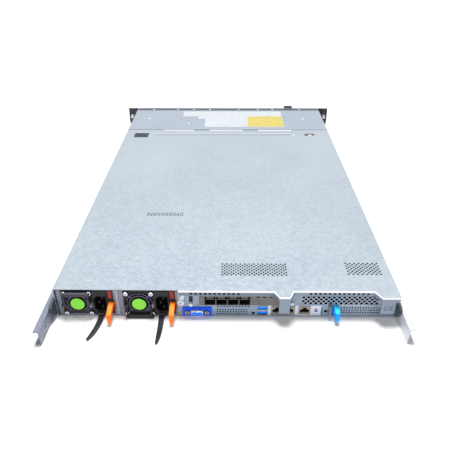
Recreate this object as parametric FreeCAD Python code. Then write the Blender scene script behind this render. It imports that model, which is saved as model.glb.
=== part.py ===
import FreeCAD, Part
import math
import os

# One-unit rack server in mm. +X is right seen from behind, +Y the front, +Z up.
# Y = 0 is the rear panel's outer face and Z = 0 the underside.

# Body sheet
HALF_W = 217.0
DEPTH = 690.0
FLOOR_T = 1.2
WALL_T = 1.2
WALL_TOP = 41.9
TOP = 43.0
DECK_T = 1.0
COVER_T = 0.8
SEAM_Y = DEPTH - 146.0
SEAM_GAP = 0.5
CLEAR = 0.3
PIN_GAP = 0.05

# Supplies: fan centres across the rear, and what follows from them
FAN_X = (29.2 - HALF_W, 107.8 - HALF_W)
PSU_LEFT = 25.7
PSU_RIGHT = 48.3
PSU_LOW = 1.6
PSU_HIGH = 41.4
PSU_DEEP = 185.0
PSU_SKIN = 1.0
PSU_FACE = 1.5
FAN_Z = 21.0
FAN_BORE = 17.4
SCREW_STEP = 16.0
INLET_X = 29.0
INLET_HALF = 9.0
CAVITY_HALF_X = 7.7
CAVITY_HALF_Z = 12.0
CAVITY_DEEP = 17.0
PIN_STEP = 7.0
HANDLE_Y = -4.4
HANDLE_Z = 20.5
HANDLE_REACH = 17.6
HANDLE_HALF = 16.4
LATCH_LOW_X = 39.2
LATCH_HIGH_X = 47.0
LATCH_PIVOT_Y = 10.0

# Inside
BOARD_LOW = 2.4
BOARD_T = 1.6
WALL_FAN_Y = DEPTH - 248.0
WALL_FAN_DEEP = 30.0
WALL_FAN_STEP = (HALF_W - 45.0) / 2
WALL_FAN_X = tuple(i * WALL_FAN_STEP for i in (-2, -1, 0, 1, 2))
WALL_FAN_BORE = 18.8
CAGE_Y = DEPTH - 190.0
CAGE_TOP_Y = SEAM_Y + 2.0
CAGE_HALF = HALF_W - 1.5
BAY_DIVIDER = 106.7 / 217.0 * HALF_W
BAY_X = (-BAY_DIVIDER - 53.7, -BAY_DIVIDER / 2, BAY_DIVIDER / 2, BAY_DIVIDER + 53.7)
CARRIER_HALF = BAY_DIVIDER / 2 - 1.15
CARRIER_TOP = 36.6

# Rack side
RAIL_IN = HALF_W + 4.0
RAIL_T = 1.5
RAIL_OUT = RAIL_IN + 7.5
RAIL_LOW = 1.0
RAIL_HIGH = 21.0
RAIL_END = DEPTH - 50.0
RAIL_BACK = {"left": 53.0, "right": 46.0}
STUD_Y = tuple(40.0 + i * (DEPTH - 120.0) / 3 for i in range(4))
STUD_R = 3.0
EAR_OUT = HALF_W + 24.3
EAR_SCREW_X = EAR_OUT - 8.75
EAR_SCREW_Z = 24.0
EAR_T = 1.5

V = FreeCAD.Vector
os.makedirs("parts", exist_ok=True)


def box(x0, x1, y0, y1, z0, z1):
    return Part.makeBox(x1 - x0, y1 - y0, z1 - z0, V(x0, y0, z0))


def rod(r, start, length, axis):
    return Part.makeCylinder(r, length, V(*start), V(*axis))


def along_y(r, x, z, y0, y1):
    return rod(r, (x, y0, z), y1 - y0, (0, 1, 0))


def along_z(r, x, y, z0, z1):
    return rod(r, (x, y, z0), z1 - z0, (0, 0, 1))


def along_x(r, y, z, x0, x1):
    return rod(r, (x0, y, z), x1 - x0, (1, 0, 0))


def ngon(a, b, r, n, turn=0.0):
    step = 2 * math.pi / n
    return [(a + r * math.cos(turn + i * step), b + r * math.sin(turn + i * step)) for i in range(n)]


def rect(a0, a1, b0, b1):
    return [(a0, b0), (a1, b0), (a1, b1), (a0, b1)]


# A plate with holes: the outline and the holes are points across the axis, from lo to hi along it.
def plate(outline, holes, lo, hi, axis):
    def wire(points):
        if axis == "z":
            at = [V(a, b, lo) for a, b in points]
        elif axis == "y":
            at = [V(a, lo, b) for a, b in points]
        else:
            at = [V(lo, a, b) for a, b in points]
        return Part.makePolygon(at + at[:1])

    face = Part.makeFace([wire(outline)] + [wire(h) for h in holes], "Part::FaceMakerBullseye")
    way = {"x": V(hi - lo, 0, 0), "y": V(0, hi - lo, 0), "z": V(0, 0, hi - lo)}[axis]
    return face.extrude(way)


def join(shapes):
    whole = shapes[0].fuse(shapes[1:]) if len(shapes) > 1 else shapes[0]
    return whole.removeSplitter()


def drop(shape, tools):
    return shape.cut(Part.makeCompound(tools)).removeSplitter()


def save(name, shape):
    shape.exportStep("parts/" + name + ".step")


def mirror_x(shape):
    return shape.mirror(V(0, 0, 0), V(1, 0, 0))


# The strip that follows a line of points, as thick as t on its +Y side.
def offset_line(points, t):
    out = []
    for i, (x, y) in enumerate(points):
        ways = []
        for j in (i - 1, i):
            if 0 <= j < len(points) - 1:
                dx = points[j + 1][0] - points[j][0]
                dy = points[j + 1][1] - points[j][1]
                size = math.hypot(dx, dy)
                ways.append((-dy / size, dx / size))
        nx = sum(w[0] for w in ways) / len(ways)
        ny = sum(w[1] for w in ways) / len(ways)
        k = t / (nx * nx + ny * ny)
        out.append((x + nx * k, y + ny * k))
    return out


def strip(points, t, z0, z1):
    return plate(points + offset_line(points, t)[::-1], [], z0, z1, "z")


# Tray: floor, walls, rail studs and the standoffs of the boards
STANDOFFS = [(x, y) for x in (-40.0, 80.0, HALF_W - 17.0) for y in (30.0, 220.0, WALL_FAN_Y - 42.0)]
STANDOFFS += [(17.0 - HALF_W, y) for y in (230.0, WALL_FAN_Y - 42.0)]
STANDOFFS += [(127.0 - HALF_W, y) for y in (230.0, WALL_FAN_Y - 42.0)]
tray = [box(-HALF_W, HALF_W, 0, DEPTH - 1, 0, FLOOR_T)]
for side in (-1, 1):
    x0, x1 = sorted((side * HALF_W, side * (HALF_W - WALL_T)))
    tray.append(box(x0, x1, 0, DEPTH - 1, FLOOR_T, WALL_TOP))
    for y in STUD_Y:
        tray.append(rod(STUD_R, (side * HALF_W, y, 11), RAIL_IN - HALF_W, (side, 0, 0)))
for x, y in STANDOFFS:
    tray.append(box(x - 2.5, x + 2.5, y - 2.5, y + 2.5, FLOOR_T, BOARD_LOW))
save("chassis_tray", join(tray))

# Fixed front deck on the drive cage
save("front_deck", box(-HALF_W, HALF_W, SEAM_Y + SEAM_GAP, DEPTH - 20.4, TOP - DECK_T, TOP))

# Sliding rear cover: outline with the tabs, folded rear edge with slots, three vents
REAR_EDGE = [(-58.0, -3.0), (61.0, -3.0), (67.5, -14.4), (81.0, -14.4), (86.5, -2.2)]
REAR_EDGE += [(HALF_W - 30.8, -2.2), (HALF_W - 23.3, -14.6), (HALF_W - 1.4, -14.6)]
OUTLINE = [(-HALF_W, 0.0), (-60.0, -0.2)] + REAR_EDGE + [(HALF_W, -13.2)]
OUTLINE += [(HALF_W, SEAM_Y), (-HALF_W, SEAM_Y)]
VENT_R = 1.75
VENT_STEP = 6.0
FLANGE_T = 1.0
FLANGE_LOW = 36.5
TAB_LOW = 18.0
SLOT_Z = (38.0, 41.2)
SLOT_HALF = 1.5
SLOT_START = (-42.6, 107.5)
SLOT_EDGE_Y = (-3.0, -2.2)
SLOT_STEP = 5.955
RELEASE = (19.0 - HALF_W, 49.0 - HALF_W, SEAM_Y - 43.5, SEAM_Y - 20.5)
LOCK_X = HALF_W - 41.5
LOCK_Y = SEAM_Y - 29.0
SKIRT_IN = HALF_W - 2.6
LOCK_HALF_X = 12.6
LOCK_HALF_Y = 8.4


def vent(x0, count, y0, rows, row_step):
    at = []
    for r in range(rows):
        n = count - r % 2
        shift = VENT_STEP / 2 * (r % 2)
        at += [ngon(x0 + shift + VENT_STEP * i, y0 - r * row_step, VENT_R, 4) for i in range(n)]
    return at


holes = vent(-122.7, 10, 188.0, 3, 3.25)
holes += vent(-3.9, 15, 55.0, 9, 2.95)
holes += vent(HALF_W - 55.8, 8, 57.5, 9, 2.95)
holes.append(rect(*RELEASE))
oval = [(LOCK_X + a, LOCK_Y + b) for a, b in ngon(0, 0, 1, 12)]
oval = [(LOCK_X + (a - LOCK_X) * LOCK_HALF_X, LOCK_Y + (b - LOCK_Y) * LOCK_HALF_Y) for a, b in oval]
holes.append(oval)
cover = [plate(OUTLINE, holes, TOP - COVER_T, TOP, "z")]
fold = strip(REAR_EDGE, FLANGE_T, FLANGE_LOW, TOP - COVER_T)
slots = []
for x0, y, count in zip(SLOT_START, SLOT_EDGE_Y, (11, 13)):
    for i in range(count):
        x = x0 + SLOT_STEP * i
        slots.append(box(x - SLOT_HALF, x + SLOT_HALF, y - 1, y + 2, SLOT_Z[0], SLOT_Z[1]))
edge = [drop(fold, slots), box(67.5, 81.0, -14.4, -13.4, TAB_LOW, FLANGE_LOW)]
tab_x = HALF_W - 23.3
tab_holes = [rect(x - 1, x + 1, z - 1, z + 1) for x in (tab_x + 4.9, tab_x + 8.9, tab_x + 12.9) for z in (25.8, 29.8)]
edge.append(plate(rect(tab_x, tab_x + 17.3, TAB_LOW, FLANGE_LOW), tab_holes, -14.6, -13.6, "y"))
cover.append(join(edge))
skirt = box(SKIRT_IN, SKIRT_IN + 1, 20, SEAM_Y - 49, 36, TOP - COVER_T)
cover += [skirt, mirror_x(skirt)]
dish = box(LOCK_X - 14, LOCK_X + 14, LOCK_Y - 10, LOCK_Y + 10, 38.6, TOP - COVER_T)
well = plate(oval, [], 39.4, TOP, "z")
bore = along_z(2.0 + PIN_GAP, LOCK_X, LOCK_Y, 38, 40)
cover.append(drop(dish, [well, bore]))
save("top_cover", Part.makeCompound(cover))

release = [box(RELEASE[0] + CLEAR, RELEASE[1] - CLEAR, RELEASE[2] + CLEAR, RELEASE[3] - CLEAR, 39.9, 42.6)]
release.append(box(RELEASE[0] - 2, RELEASE[1] + 2, RELEASE[2] + CLEAR, RELEASE[3] - CLEAR, 38.9, 41.9))
save("cover_release", join(release))
lock = [along_z(5.0, LOCK_X, LOCK_Y, 39.7, 42.4), along_z(2.0, LOCK_X, LOCK_Y, 34.0, 39.7)]
driver = box(LOCK_X - 4, LOCK_X + 4, LOCK_Y - 0.6, LOCK_Y + 0.6, 41.4, 43)
save("cover_lock_screw", drop(join(lock), [driver]))

# Rear panel with its grids and the openings for the ports
PANEL_T = 1.2
PANEL_LEFT = -57.5
NIC_WINDOW = (-33.0, 70.5, 18.6, 33.8)
SLOT_WINDOW = (95.0, 199.0, 20.6, 36.6)
VGA_AT = (-35.6, 8.6)
USB_X = 48.1
USB_Z = (6.3, 13.9)
LAN_X = (66.9, 82.1, 101.9)
LAN_Z = 10.8
LAN_HALF = 7.6
BUTTON_AT = (116.6, 10.8)
BUTTON_R = 2.6
GRID_HALF = 0.95


def grid(x0, count, step, rows):
    return [ngon(x0 + step * i, z, GRID_HALF * 1.414, 4, math.pi / 4) for z in rows for i in range(count)]


panel_holes = [rect(*NIC_WINDOW), rect(*SLOT_WINDOW)]
panel_holes.append(rect(VGA_AT[0] - 16, VGA_AT[0] + 16, VGA_AT[1] - 5.4, VGA_AT[1] + 5.4))
panel_holes.append(rect(USB_X - 6.9, USB_X + 6.9, 2.6, 17.7))
LAN_LOW = BOARD_LOW + BOARD_T - 0.2
panel_holes.append(rect(LAN_X[0] - LAN_HALF, LAN_X[1] + LAN_HALF, LAN_LOW, 17.6))
panel_holes.append(rect(LAN_X[2] - LAN_HALF, LAN_X[2] + LAN_HALF, LAN_LOW, 17.6))
panel_holes += grid(-9.6, 12, 3.43, (4.2, 7.7, 11.1))
panel_holes += grid(-8.9, 11, 3.96, (16.4,))
panel_holes += grid(149.1, 15, 3.49, (7.6, 11.4, 15.2))
panel_holes += grid(124.3, 1, 1, (4.6, 7.9, 11.2, 14.5))
panel_holes.append(ngon(36.5, 5.5, 2.2, 12))
panel_holes.append(ngon(129.2, 9.4, 2.2, 12))
panel_holes.append(rect(-45.6, -40.8, 24.0, 33.4))
panel = plate(rect(PANEL_LEFT, HALF_W - WALL_T, FLOOR_T, WALL_TOP), panel_holes, 0, PANEL_T, "y")
button_hole = along_y(BUTTON_R + PIN_GAP, BUTTON_AT[0], BUTTON_AT[1], -1, 7)
blue_slot = box(137.6, 145.4, -1, 3, 3.0, 19.6)
backing = box(-46.4, -40.0, PANEL_T, PANEL_T + 0.8, 23.2, 34.2)
bush = along_y(4.2, BUTTON_AT[0], BUTTON_AT[1], PANEL_T, 6)
pillar = [box(136.0, 147.0, 5, 15, 1.2, 2.8), box(136.0, 147.0, 5, 15, 19.9, 21.5)]
pillar.append(box(145.8, 147.0, PANEL_T, 15, 1.2, 21.5))
pillar.append(along_z(1.5, 141.4, 10, 2.8, 19.9))
panel = join([drop(join([panel, bush]), [button_hole, blue_slot]), backing] + pillar)
save("rear_io_panel", panel)

# Honeycomb cover of the empty slot
comb = []
for row in range(5):
    z = 22.3 + row * 3.14
    shift = 0 if row % 2 else 3.22
    comb += [ngon(99.4 + shift + 6.44 * i, z, 1.95, 6) for i in range(15)]
slot_edge = box(SLOT_WINDOW[0], SLOT_WINDOW[1], 1.2, 12, SLOT_WINDOW[3] - 0.5, SLOT_WINDOW[3])
slot_plate = plate(rect(SLOT_WINDOW[0], SLOT_WINDOW[1], SLOT_WINDOW[2], SLOT_WINDOW[3]), comb, 0.4, 1.2, "y")
save("slot_cover", join([slot_plate, slot_edge]))

# Network card, its bracket with four cages, and the riser board
CAGE_X = (-18.9, -4.2, 10.5, 25.2)
CAGE_LOW = 20.6
CAGE_HIGH = 29.6
bracket_holes = [rect(x - 7.0, x + 7.0, 19.5, CAGE_HIGH + 2.6) for x in CAGE_X]
bracket_holes += [rect(x - 2.0, x + 2.0, 31.0, 32.6) for x in (42.0, 50.0, 58.0)]
bracket = [plate(rect(NIC_WINDOW[0], NIC_WINDOW[1], NIC_WINDOW[2], NIC_WINDOW[3]), bracket_holes, 0, 1.2, "y")]
bracket.append(box(40, 68, 1.2, 14, 19.5, 20.5))
save("network_card_bracket", join(bracket))
card = [box(-32.0, 69.0, 2.0, 160.0, 17.9, 19.5)]
for x in CAGE_X:
    cage = box(x - 7.0, x + 7.0, -1.6, 50, 19.5, CAGE_HIGH)
    card.append(drop(cage, [box(x - 6.5, x + 6.5, -3, 46, CAGE_LOW, CAGE_HIGH - 0.5)]))
    card.append(box(x - 4.5, x + 4.5, 0.6, 30, CAGE_HIGH, CAGE_HIGH + 2.2))
card.append(box(-6, 26, 70, 102, 19.5, 27))
card.append(box(-28, 40, 120, 150, 19.5, 22))
card.append(box(69.0, 74.0, 60, 140, 17.9, 19.5))
save("network_card", join(card))
riser = [box(77.0, 78.6, 40, 160, 11.0, 36.0), box(70.5, 77.0, 55, 145, 16.0, 21.4)]
riser[1] = drop(riser[1], [box(69, 74.0, 50, 150, 17.9, 19.5)])
riser.append(box(74.8, 80.8, 50, 150, 4.0, 11.0))
save("riser_board", join(riser))

# Ports on the mainboard
vx, vz = VGA_AT
shell = [(vx - 8.4, vz + 3.9), (vx + 8.4, vz + 3.9), (vx + 7.0, vz - 3.9), (vx - 7.0, vz - 3.9)]
inner = [(vx + (x - vx) * 0.9, vz + (z - vz) * 0.82) for x, z in shell]
vga = [box(vx - 18.6, vx + 18.6, -1.4, -0.2, 1.4, 15.6)]
vga.append(plate(shell, [inner], -6.4, -1.4, "y"))
vga.append(plate(inner, [], -3.0, -1.4, "y"))
for x in (vx - 12.5, vx + 12.5):
    post = along_y(2.6, x, vz, -6.0, -1.4)
    vga.append(drop(post, [along_y(1.4, x, vz, -7.0, -2.4)]))
vga.append(box(vx - 15.4, vx + 15.4, -0.2, 12, BOARD_LOW + BOARD_T, 13.6))
save("vga_connector", join(vga))
usb = box(USB_X - 6.6, USB_X + 6.6, -0.6, 17, BOARD_LOW + BOARD_T, 17.4)
usb_cut = []
for z in USB_Z:
    usb_cut.append(box(USB_X - 6.0, USB_X + 6.0, -1, 13, z - 2.2, z + 2.4))
usb_tongue = [box(USB_X - 5.2, USB_X + 5.2, 0.4, 13, z - 0.3, z + 1.3) for z in USB_Z]
save("usb_ports", join([drop(usb, usb_cut)] + usb_tongue))


def socket(x):
    body = box(x - LAN_HALF + 0.1, x + LAN_HALF - 0.1, -0.8, 18, BOARD_LOW + BOARD_T, 17.4)
    stair = [(x - 5.9, 6.0), (x + 5.9, 6.0), (x + 5.9, 12.6), (x + 3.2, 12.6), (x + 3.2, 14.6)]
    stair += [(x + 1.8, 14.6), (x + 1.8, 16.0), (x - 1.8, 16.0), (x - 1.8, 14.6), (x - 3.2, 14.6)]
    stair += [(x - 3.2, 12.6), (x - 5.9, 12.6)]
    hollow = plate(stair, [], -2, 12.5, "y")
    ramp = plate([(4, 12.6), (12.5, 12.6), (12.5, 9.0)], [], x - 4.4, x + 4.4, "x")
    return drop(body, [hollow]).fuse(ramp)


save("lan_ports", Part.makeCompound([socket(x).removeSplitter() for x in LAN_X]))
save("uid_button", join([along_y(BUTTON_R, BUTTON_AT[0], BUTTON_AT[1], -1.2, 8), along_y(3.6, *BUTTON_AT, 6.6, 9)]))

# Small fittings on the panel: captive tongue, two screws and the lug beside the blue latch
tongue = [(-59.6, 26.4), (-54.6, 36.0), (-51.0, 36.0), (-52.4, 26.4)]
fittings = [plate(tongue, [], -1.4, 0, "y"), along_y(4.3, -56.0, 23.4, -2.4, 0)]
fittings.append(along_y(2.4, -43.4, 20.0, -2.2, 0))
fittings.append(along_y(2.4, 85.6, 22.2, -2.2, 0))
lug = plate([(0, 4.4), (0, 19.6), (-3.4, 19.6), (-7.5, 4.4)], [], 132.4, 135.8, "x")
fittings.append(lug)
fittings[1] = drop(fittings[1], [along_y(2.0, -56.0, 23.4, -3, -1)])
save("panel_fittings", Part.makeCompound([join(fittings[:2])] + fittings[2:]))

# Blue latch: an arm on a vertical pin behind the panel
arm = [(13, 19.0), (-15.6, 19.0), (-16.4, 6.2), (-12.4, 6.2), (-11.6, 12.0), (-2, 14.0), (-2, 3.6), (13, 3.6)]
blue = plate(arm, [], 138.2, 144.6, "x")
save("blue_latch", drop(blue, [along_z(1.5 + PIN_GAP, 141.4, 10, 0, 25)]))


# Fan rotor about a shaft along Y: hub with a bore, and slanted blades that sweep a circle of radius sweep
def rotor(x, z, hub_r, sweep, y0, y1, bore, blades):
    shapes = [along_y(hub_r, x, z, y0, y1)]
    mid = (y0 + y1) / 2
    reach = (y1 - y0) * 0.42
    slant = math.radians(32)
    across = 0.6 * math.cos(slant) + reach * math.sin(slant)
    tip = math.sqrt(sweep * sweep - across * across)
    for i in range(blades):
        blade = box(x - 0.6, x + 0.6, mid - reach, mid + reach, z + hub_r - 0.8, z + tip)
        blade.rotate(V(x, mid, z), V(0, 0, 1), 32)
        blade.rotate(V(x, mid, z), V(0, 1, 0), 360.0 * i / blades)
        shapes.append(blade)
    return drop(join(shapes), [along_y(1.5 + PIN_GAP, x, z, bore[0], bore[1])])


# Hot-plug supplies in their bays
def psu(name, fan, up):
    left = fan - PSU_LEFT
    right = fan + PSU_RIGHT
    ix = fan + INLET_X
    skin = PSU_SKIN
    case = box(left, right, 0, PSU_DEEP, PSU_LOW, PSU_HIGH)
    room = box(left + skin, right - skin, PSU_FACE, PSU_DEEP - 1, PSU_LOW + skin, PSU_HIGH - skin)
    case = case.cut(room)
    shroud = box(fan - 19.2, fan + 19.2, PSU_FACE, 27, PSU_LOW + skin, PSU_HIGH - skin)
    case = join([case, shroud])
    opens = [along_y(FAN_BORE, fan, FAN_Z, -1, 28)]
    opens.append(box(ix - 8.2, ix + 8.2, -1, 2, 7.8, 34.2))
    opens.append(box(fan + 38.5, fan + 47.2, -1, 2, 12.4, 23.2))
    opens.append(box(left + 12, left + 62, PSU_DEEP - 3, PSU_DEEP + 1, 16, 36))
    case = drop(case, opens)
    more = [box(fan - FAN_BORE - 0.5, fan + FAN_BORE + 0.5, 24, 27, FAN_Z - 1.4, FAN_Z + 1.4)]
    more.append(along_y(7.0, fan, FAN_Z, 24, 27))
    more.append(along_y(1.5, fan, FAN_Z, 8, 24))
    more.append(box(fan, fan + 20, PSU_DEEP - 40, PSU_DEEP + 8, 8, 9.6))
    for side in (-1, 1):
        x0, x1 = sorted((fan + side * 16.9, fan + side * 18.8))
        more.append(box(x0, x1, -6.2, 0, HANDLE_Z - 2.2, HANDLE_Z + 2.2))
        x0, x1 = sorted((fan + side * 14.2, fan + side * 16.9))
        more.append(along_x(1.1, HANDLE_Y, HANDLE_Z, x0, x1))
    more.append(box(fan + 38.6, fan + 47.8, 4, 15, 10.6, 12.2))
    more.append(box(fan + 38.6, fan + 47.8, 4, 15, 23.4, 25.0))
    more.append(along_z(1.5, fan + 43.1, LATCH_PIVOT_Y, 12.2, 23.4))
    save(name + "_case", join([case] + more))

    inlet = [box(ix - INLET_HALF, ix + INLET_HALF, -1.2, 0, 2.2, 40.8)]
    inlet.append(box(ix - 8, ix + 8, 0, CAVITY_DEEP + 2, 8, 34))
    hx, hz = CAVITY_HALF_X, CAVITY_HALF_Z
    ring = [(ix - hx, FAN_Z - hz + 4), (ix - hx + 3.4, FAN_Z - hz), (ix + hx, FAN_Z - hz)]
    ring += [(ix + hx, FAN_Z + hz), (ix - hx + 3.4, FAN_Z + hz), (ix - hx, FAN_Z + hz - 4)]
    inlet = drop(join(inlet), [plate(ring, [], -2, CAVITY_DEEP - 1.2, "y")])
    pins = [(ix - 2, FAN_Z), (ix + 2, FAN_Z - PIN_STEP), (ix + 2, FAN_Z + PIN_STEP)]
    pins = [box(x - 1, x + 1, 2.0, CAVITY_DEEP - 1.2, z - 2, z + 2) for x, z in pins]
    save(name + "_inlet", join([inlet] + pins))

    guard = []
    for r in (12.6, 16.2):
        outer = ngon(fan, FAN_Z, r + 0.55, 20)
        guard.append(plate(outer, [ngon(fan, FAN_Z, r - 0.55, 20)], -1.0, 0, "y"))
    for turn in (45, 135, 225, 315):
        a = math.radians(turn)
        arm = box(fan + 12.4, fan + SCREW_STEP * 1.4, -1.0, 0, FAN_Z - 0.6, FAN_Z + 0.6)
        arm.rotate(V(fan, 0, FAN_Z), V(0, 1, 0), turn)
        guard.append(arm)
        x = fan + SCREW_STEP * math.copysign(1, math.cos(a))
        z = FAN_Z + SCREW_STEP * math.copysign(1, math.sin(a))
        guard.append(plate(ngon(x, z, 2.6, 8), [], -2.0, 0, "y"))
    save(name + "_fan_guard", join(guard))
    save(name + "_rotor", rotor(fan, FAN_Z, 10.4, FAN_BORE - 0.4, 3.0, 22.0, (7.5, 23.0), 7))

    way = 1 if up else -1
    end = HANDLE_Z + way * HANDLE_REACH
    grip = [box(fan - HANDLE_HALF, fan + HANDLE_HALF, HANDLE_Y - 1.8, HANDLE_Y + 1.8, end - 2.4, end + 2.4)]
    for side in (-1, 1):
        x0, x1 = sorted((fan + side * 14.6, fan + side * HANDLE_HALF))
        z0, z1 = sorted((HANDLE_Z, end))
        leg = join([box(x0, x1, HANDLE_Y - 1.8, HANDLE_Y + 1.8, z0, z1), along_x(1.8, HANDLE_Y, HANDLE_Z, x0, x1)])
        grip.append(drop(leg, [along_x(1.1 + PIN_GAP, HANDLE_Y, HANDLE_Z, x0 - 1, x1 + 1)]))
    save(name + "_handle", join(grip))

    side_view = [(14, 22.6), (-1, 22.6), (-19.4, 17.2), (-20.4, 3.4), (-16.4, 3.4), (-15.4, 10.5)]
    side_view += [(-2, 13.0), (14, 13.0)]
    tab = plate(side_view, [], fan + LATCH_LOW_X, fan + LATCH_HIGH_X, "x")
    front_view = [(fan + LATCH_LOW_X, 23), (fan + LATCH_LOW_X, 17.2), (fan + LATCH_LOW_X + 1.9, 3)]
    front_view += [(fan + LATCH_HIGH_X - 2.3, 3), (fan + LATCH_HIGH_X, 17.2), (fan + LATCH_HIGH_X, 23)]
    tab = tab.common(plate(front_view, [], -25, 20, "y"))
    save(name + "_latch", drop(tab, [along_z(1.5 + PIN_GAP, fan + 43.1, LATCH_PIVOT_Y, 5, 30)]))

    line = [(31, -2.5), (31, -12), (29, -24), (25.5, -35), (20.5, -45.5)]
    if not up:
        line = [(30.5, -2.5), (30.9, -14), (30.6, -27), (29.6, -39), (27.8, -51)]
    half = [2.7, 2.7, 2.7, 2.5, 1.2]
    low = [(fan + x - h, y) for (x, y), h in zip(line, half)]
    high = [(fan + x + h, y) for (x, y), h in zip(line, half)]
    strap = [plate(low + high[::-1], [], 1.2, 3.0, "z")]
    strap.append(box(fan + 27, fan + 34.6, -4.4, -1.2, 1.2, 7.4))
    save(name + "_strap", join(strap))


psu("psu_1", FAN_X[0], True)
psu("psu_2", FAN_X[1], False)

# Sheet dividers of the supply bays
BAY_DEEP = PSU_DEEP + 3
gap_left = FAN_X[0] + PSU_RIGHT + 0.4
gap_right = FAN_X[1] - PSU_LEFT - 0.4
channel = [box(gap_left, gap_left + 0.8, 0, BAY_DEEP, FLOOR_T, 41.7)]
channel.append(box(gap_right - 0.8, gap_right, 0, BAY_DEEP, FLOOR_T, 41.7))
channel.append(box(gap_left, gap_right, 0, 1, FLOOR_T, 41.7))
bay_end = FAN_X[1] + PSU_RIGHT + 0.4
wall = [box(bay_end, bay_end + 1, 0, BAY_DEEP, FLOOR_T, 41.7), box(bay_end, PANEL_LEFT, 0, PANEL_T, FLOOR_T, 41.7)]
save("psu_bay_frame", Part.makeCompound([join(channel), join(wall)]))

# Boards
power = [box(4 - HALF_W, FAN_X[1] + 47.2, BAY_DEEP + 8, BAY_DEEP + 58, BOARD_LOW, BOARD_LOW + BOARD_T)]
for fan in FAN_X:
    plug = box(fan - 3, fan + 23, BAY_DEEP + 1, BAY_DEEP + 12, BOARD_LOW + BOARD_T, 13)
    power.append(drop(plug, [box(fan - 0.5, fan + 20.5, BAY_DEEP, BAY_DEEP + 8, 7.5, 10.1)]))
    power.append(box(fan + 30, fan + 42, BAY_DEEP + 27, BAY_DEEP + 47, BOARD_LOW + BOARD_T, 16))
save("power_board", join(power))
BOARD = [(-56, 2), (134, 2), (134, 20), (150, 20), (150, 2), (HALF_W - 3, 2), (HALF_W - 3, WALL_FAN_Y - 12), (3 - HALF_W, WALL_FAN_Y - 12)]
BOARD += [(3 - HALF_W, BAY_DEEP + 62), (-56, BAY_DEEP + 62)]
top = BOARD_LOW + BOARD_T
board = [plate(BOARD, [], BOARD_LOW, top, "z")]
CHIPS = [(150, 190, 200, 240, 14), (100, 128, 150, 178, 6), (20, 40, 180, 200, 6), (-50, -30, 120, 180, 13)]
CHIPS += [(190, 210, 60, 140, 12), (160, 180, 120, 160, 7), (-20, 0, 210, 240, 12), (60, 84, 200, 224, 6)]
CHIPS += [(-210, -150, BAY_DEEP + 67, BAY_DEEP + 74, 12), (-140, -110, BAY_DEEP + 67, BAY_DEEP + 82, 10)]
CHIPS.append((110, 130, 60, 120, 11))
for x0, x1, y0, y1, z1 in CHIPS:
    board.append(box(x0, x1, y0, y1, top, z1))
save("motherboard", join(board))
sinks = []
for cx in (-92.0, 92.0):
    y1 = WALL_FAN_Y - 28
    sink = [box(cx - 39, cx + 39, y1 - 92, y1, top, top + 5)]
    sink += [box(cx - 38 + 4.7 * i, cx - 36.6 + 4.7 * i, y1 - 90, y1 - 2, top + 5, 31) for i in range(17)]
    sinks.append(join(sink))
save("heatsinks", Part.makeCompound(sinks))
modules = []
for start in (-196.0, -166.0, -36.0, 12.0, 150.0, 180.0):
    for i in range(3):
        x = start + 8.5 * i
        y1 = WALL_FAN_Y - 13
        modules.append(box(x - 3, x + 3, y1 - 135, y1, top, 9).fuse(box(x - 0.7, x + 0.7, y1 - 134, y1 - 1, 9, 36)))
save("memory_modules", Part.makeCompound(modules))

# Fan wall: five frames in one cross plate, with a strut and a shaft each
frames = []
for fan in WALL_FAN_X:
    frame = box(fan - 20.5, fan + 20.5, WALL_FAN_Y, WALL_FAN_Y + WALL_FAN_DEEP, FLOOR_T, 41.2)
    frame = frame.cut(along_y(WALL_FAN_BORE, fan, FAN_Z, WALL_FAN_Y - 1, WALL_FAN_Y + WALL_FAN_DEEP + 1))
    strut = [box(fan - 19.3, fan + 19.3, WALL_FAN_Y, WALL_FAN_Y + 3, FAN_Z - 1.5, FAN_Z + 1.5)]
    strut.append(along_y(7.5, fan, FAN_Z, WALL_FAN_Y, WALL_FAN_Y + 3))
    strut.append(along_y(1.5, fan, FAN_Z, WALL_FAN_Y + 3, WALL_FAN_Y + 20))
    frames.append(join([frame] + strut))
windows = [rect(fan - 20, fan + 20, 2, 40) for fan in WALL_FAN_X]
cross_half = SKIRT_IN - CLEAR
cross = plate(rect(-cross_half, cross_half, FLOOR_T, 41.2), windows, WALL_FAN_Y + 14, WALL_FAN_Y + 15.2, "y")
save("fan_wall", join([cross] + frames))
for i, fan in enumerate(WALL_FAN_X):
    bore = (WALL_FAN_Y + 3, WALL_FAN_Y + 24.5)
    whole = rotor(fan, FAN_Z, 8.8, WALL_FAN_BORE - 0.4, WALL_FAN_Y + 4, WALL_FAN_Y + 27, bore, 7)
    save("fan_rotor_%d" % (i + 1), whole)

# Drive cage of spot-welded sheets that meet face to face, backplane and the four carriers with their levers
CAGE_TOP_Z = 41.0
cage = [box(-CAGE_HALF, CAGE_HALF, CAGE_TOP_Y, DEPTH, CAGE_TOP_Z, CAGE_TOP_Z + 1)]
cage.append(box(-CAGE_HALF, 2.7 - HALF_W, CAGE_Y, DEPTH - 1, FLOOR_T, CAGE_TOP_Z))
cage.append(box(HALF_W - 2.7, CAGE_HALF, CAGE_Y, DEPTH - 1, FLOOR_T, CAGE_TOP_Z))
for x in (-BAY_DIVIDER, 0.0, BAY_DIVIDER):
    cage.append(box(x - 0.5, x + 0.5, CAGE_Y, DEPTH - 1, FLOOR_T, CAGE_TOP_Z))
TAG = (137.0, 157.0)
TAG_Y = (DEPTH - 86, DEPTH + 24)
guide_y = (DEPTH - 90, DEPTH - 1)
cage.append(box(TAG[0] - 2.6, TAG[0] - CLEAR, guide_y[0], guide_y[1], 38.1, CAGE_TOP_Z))
cage.append(box(TAG[1] + CLEAR, TAG[1] + 2.6, guide_y[0], guide_y[1], 38.1, CAGE_TOP_Z))
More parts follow.
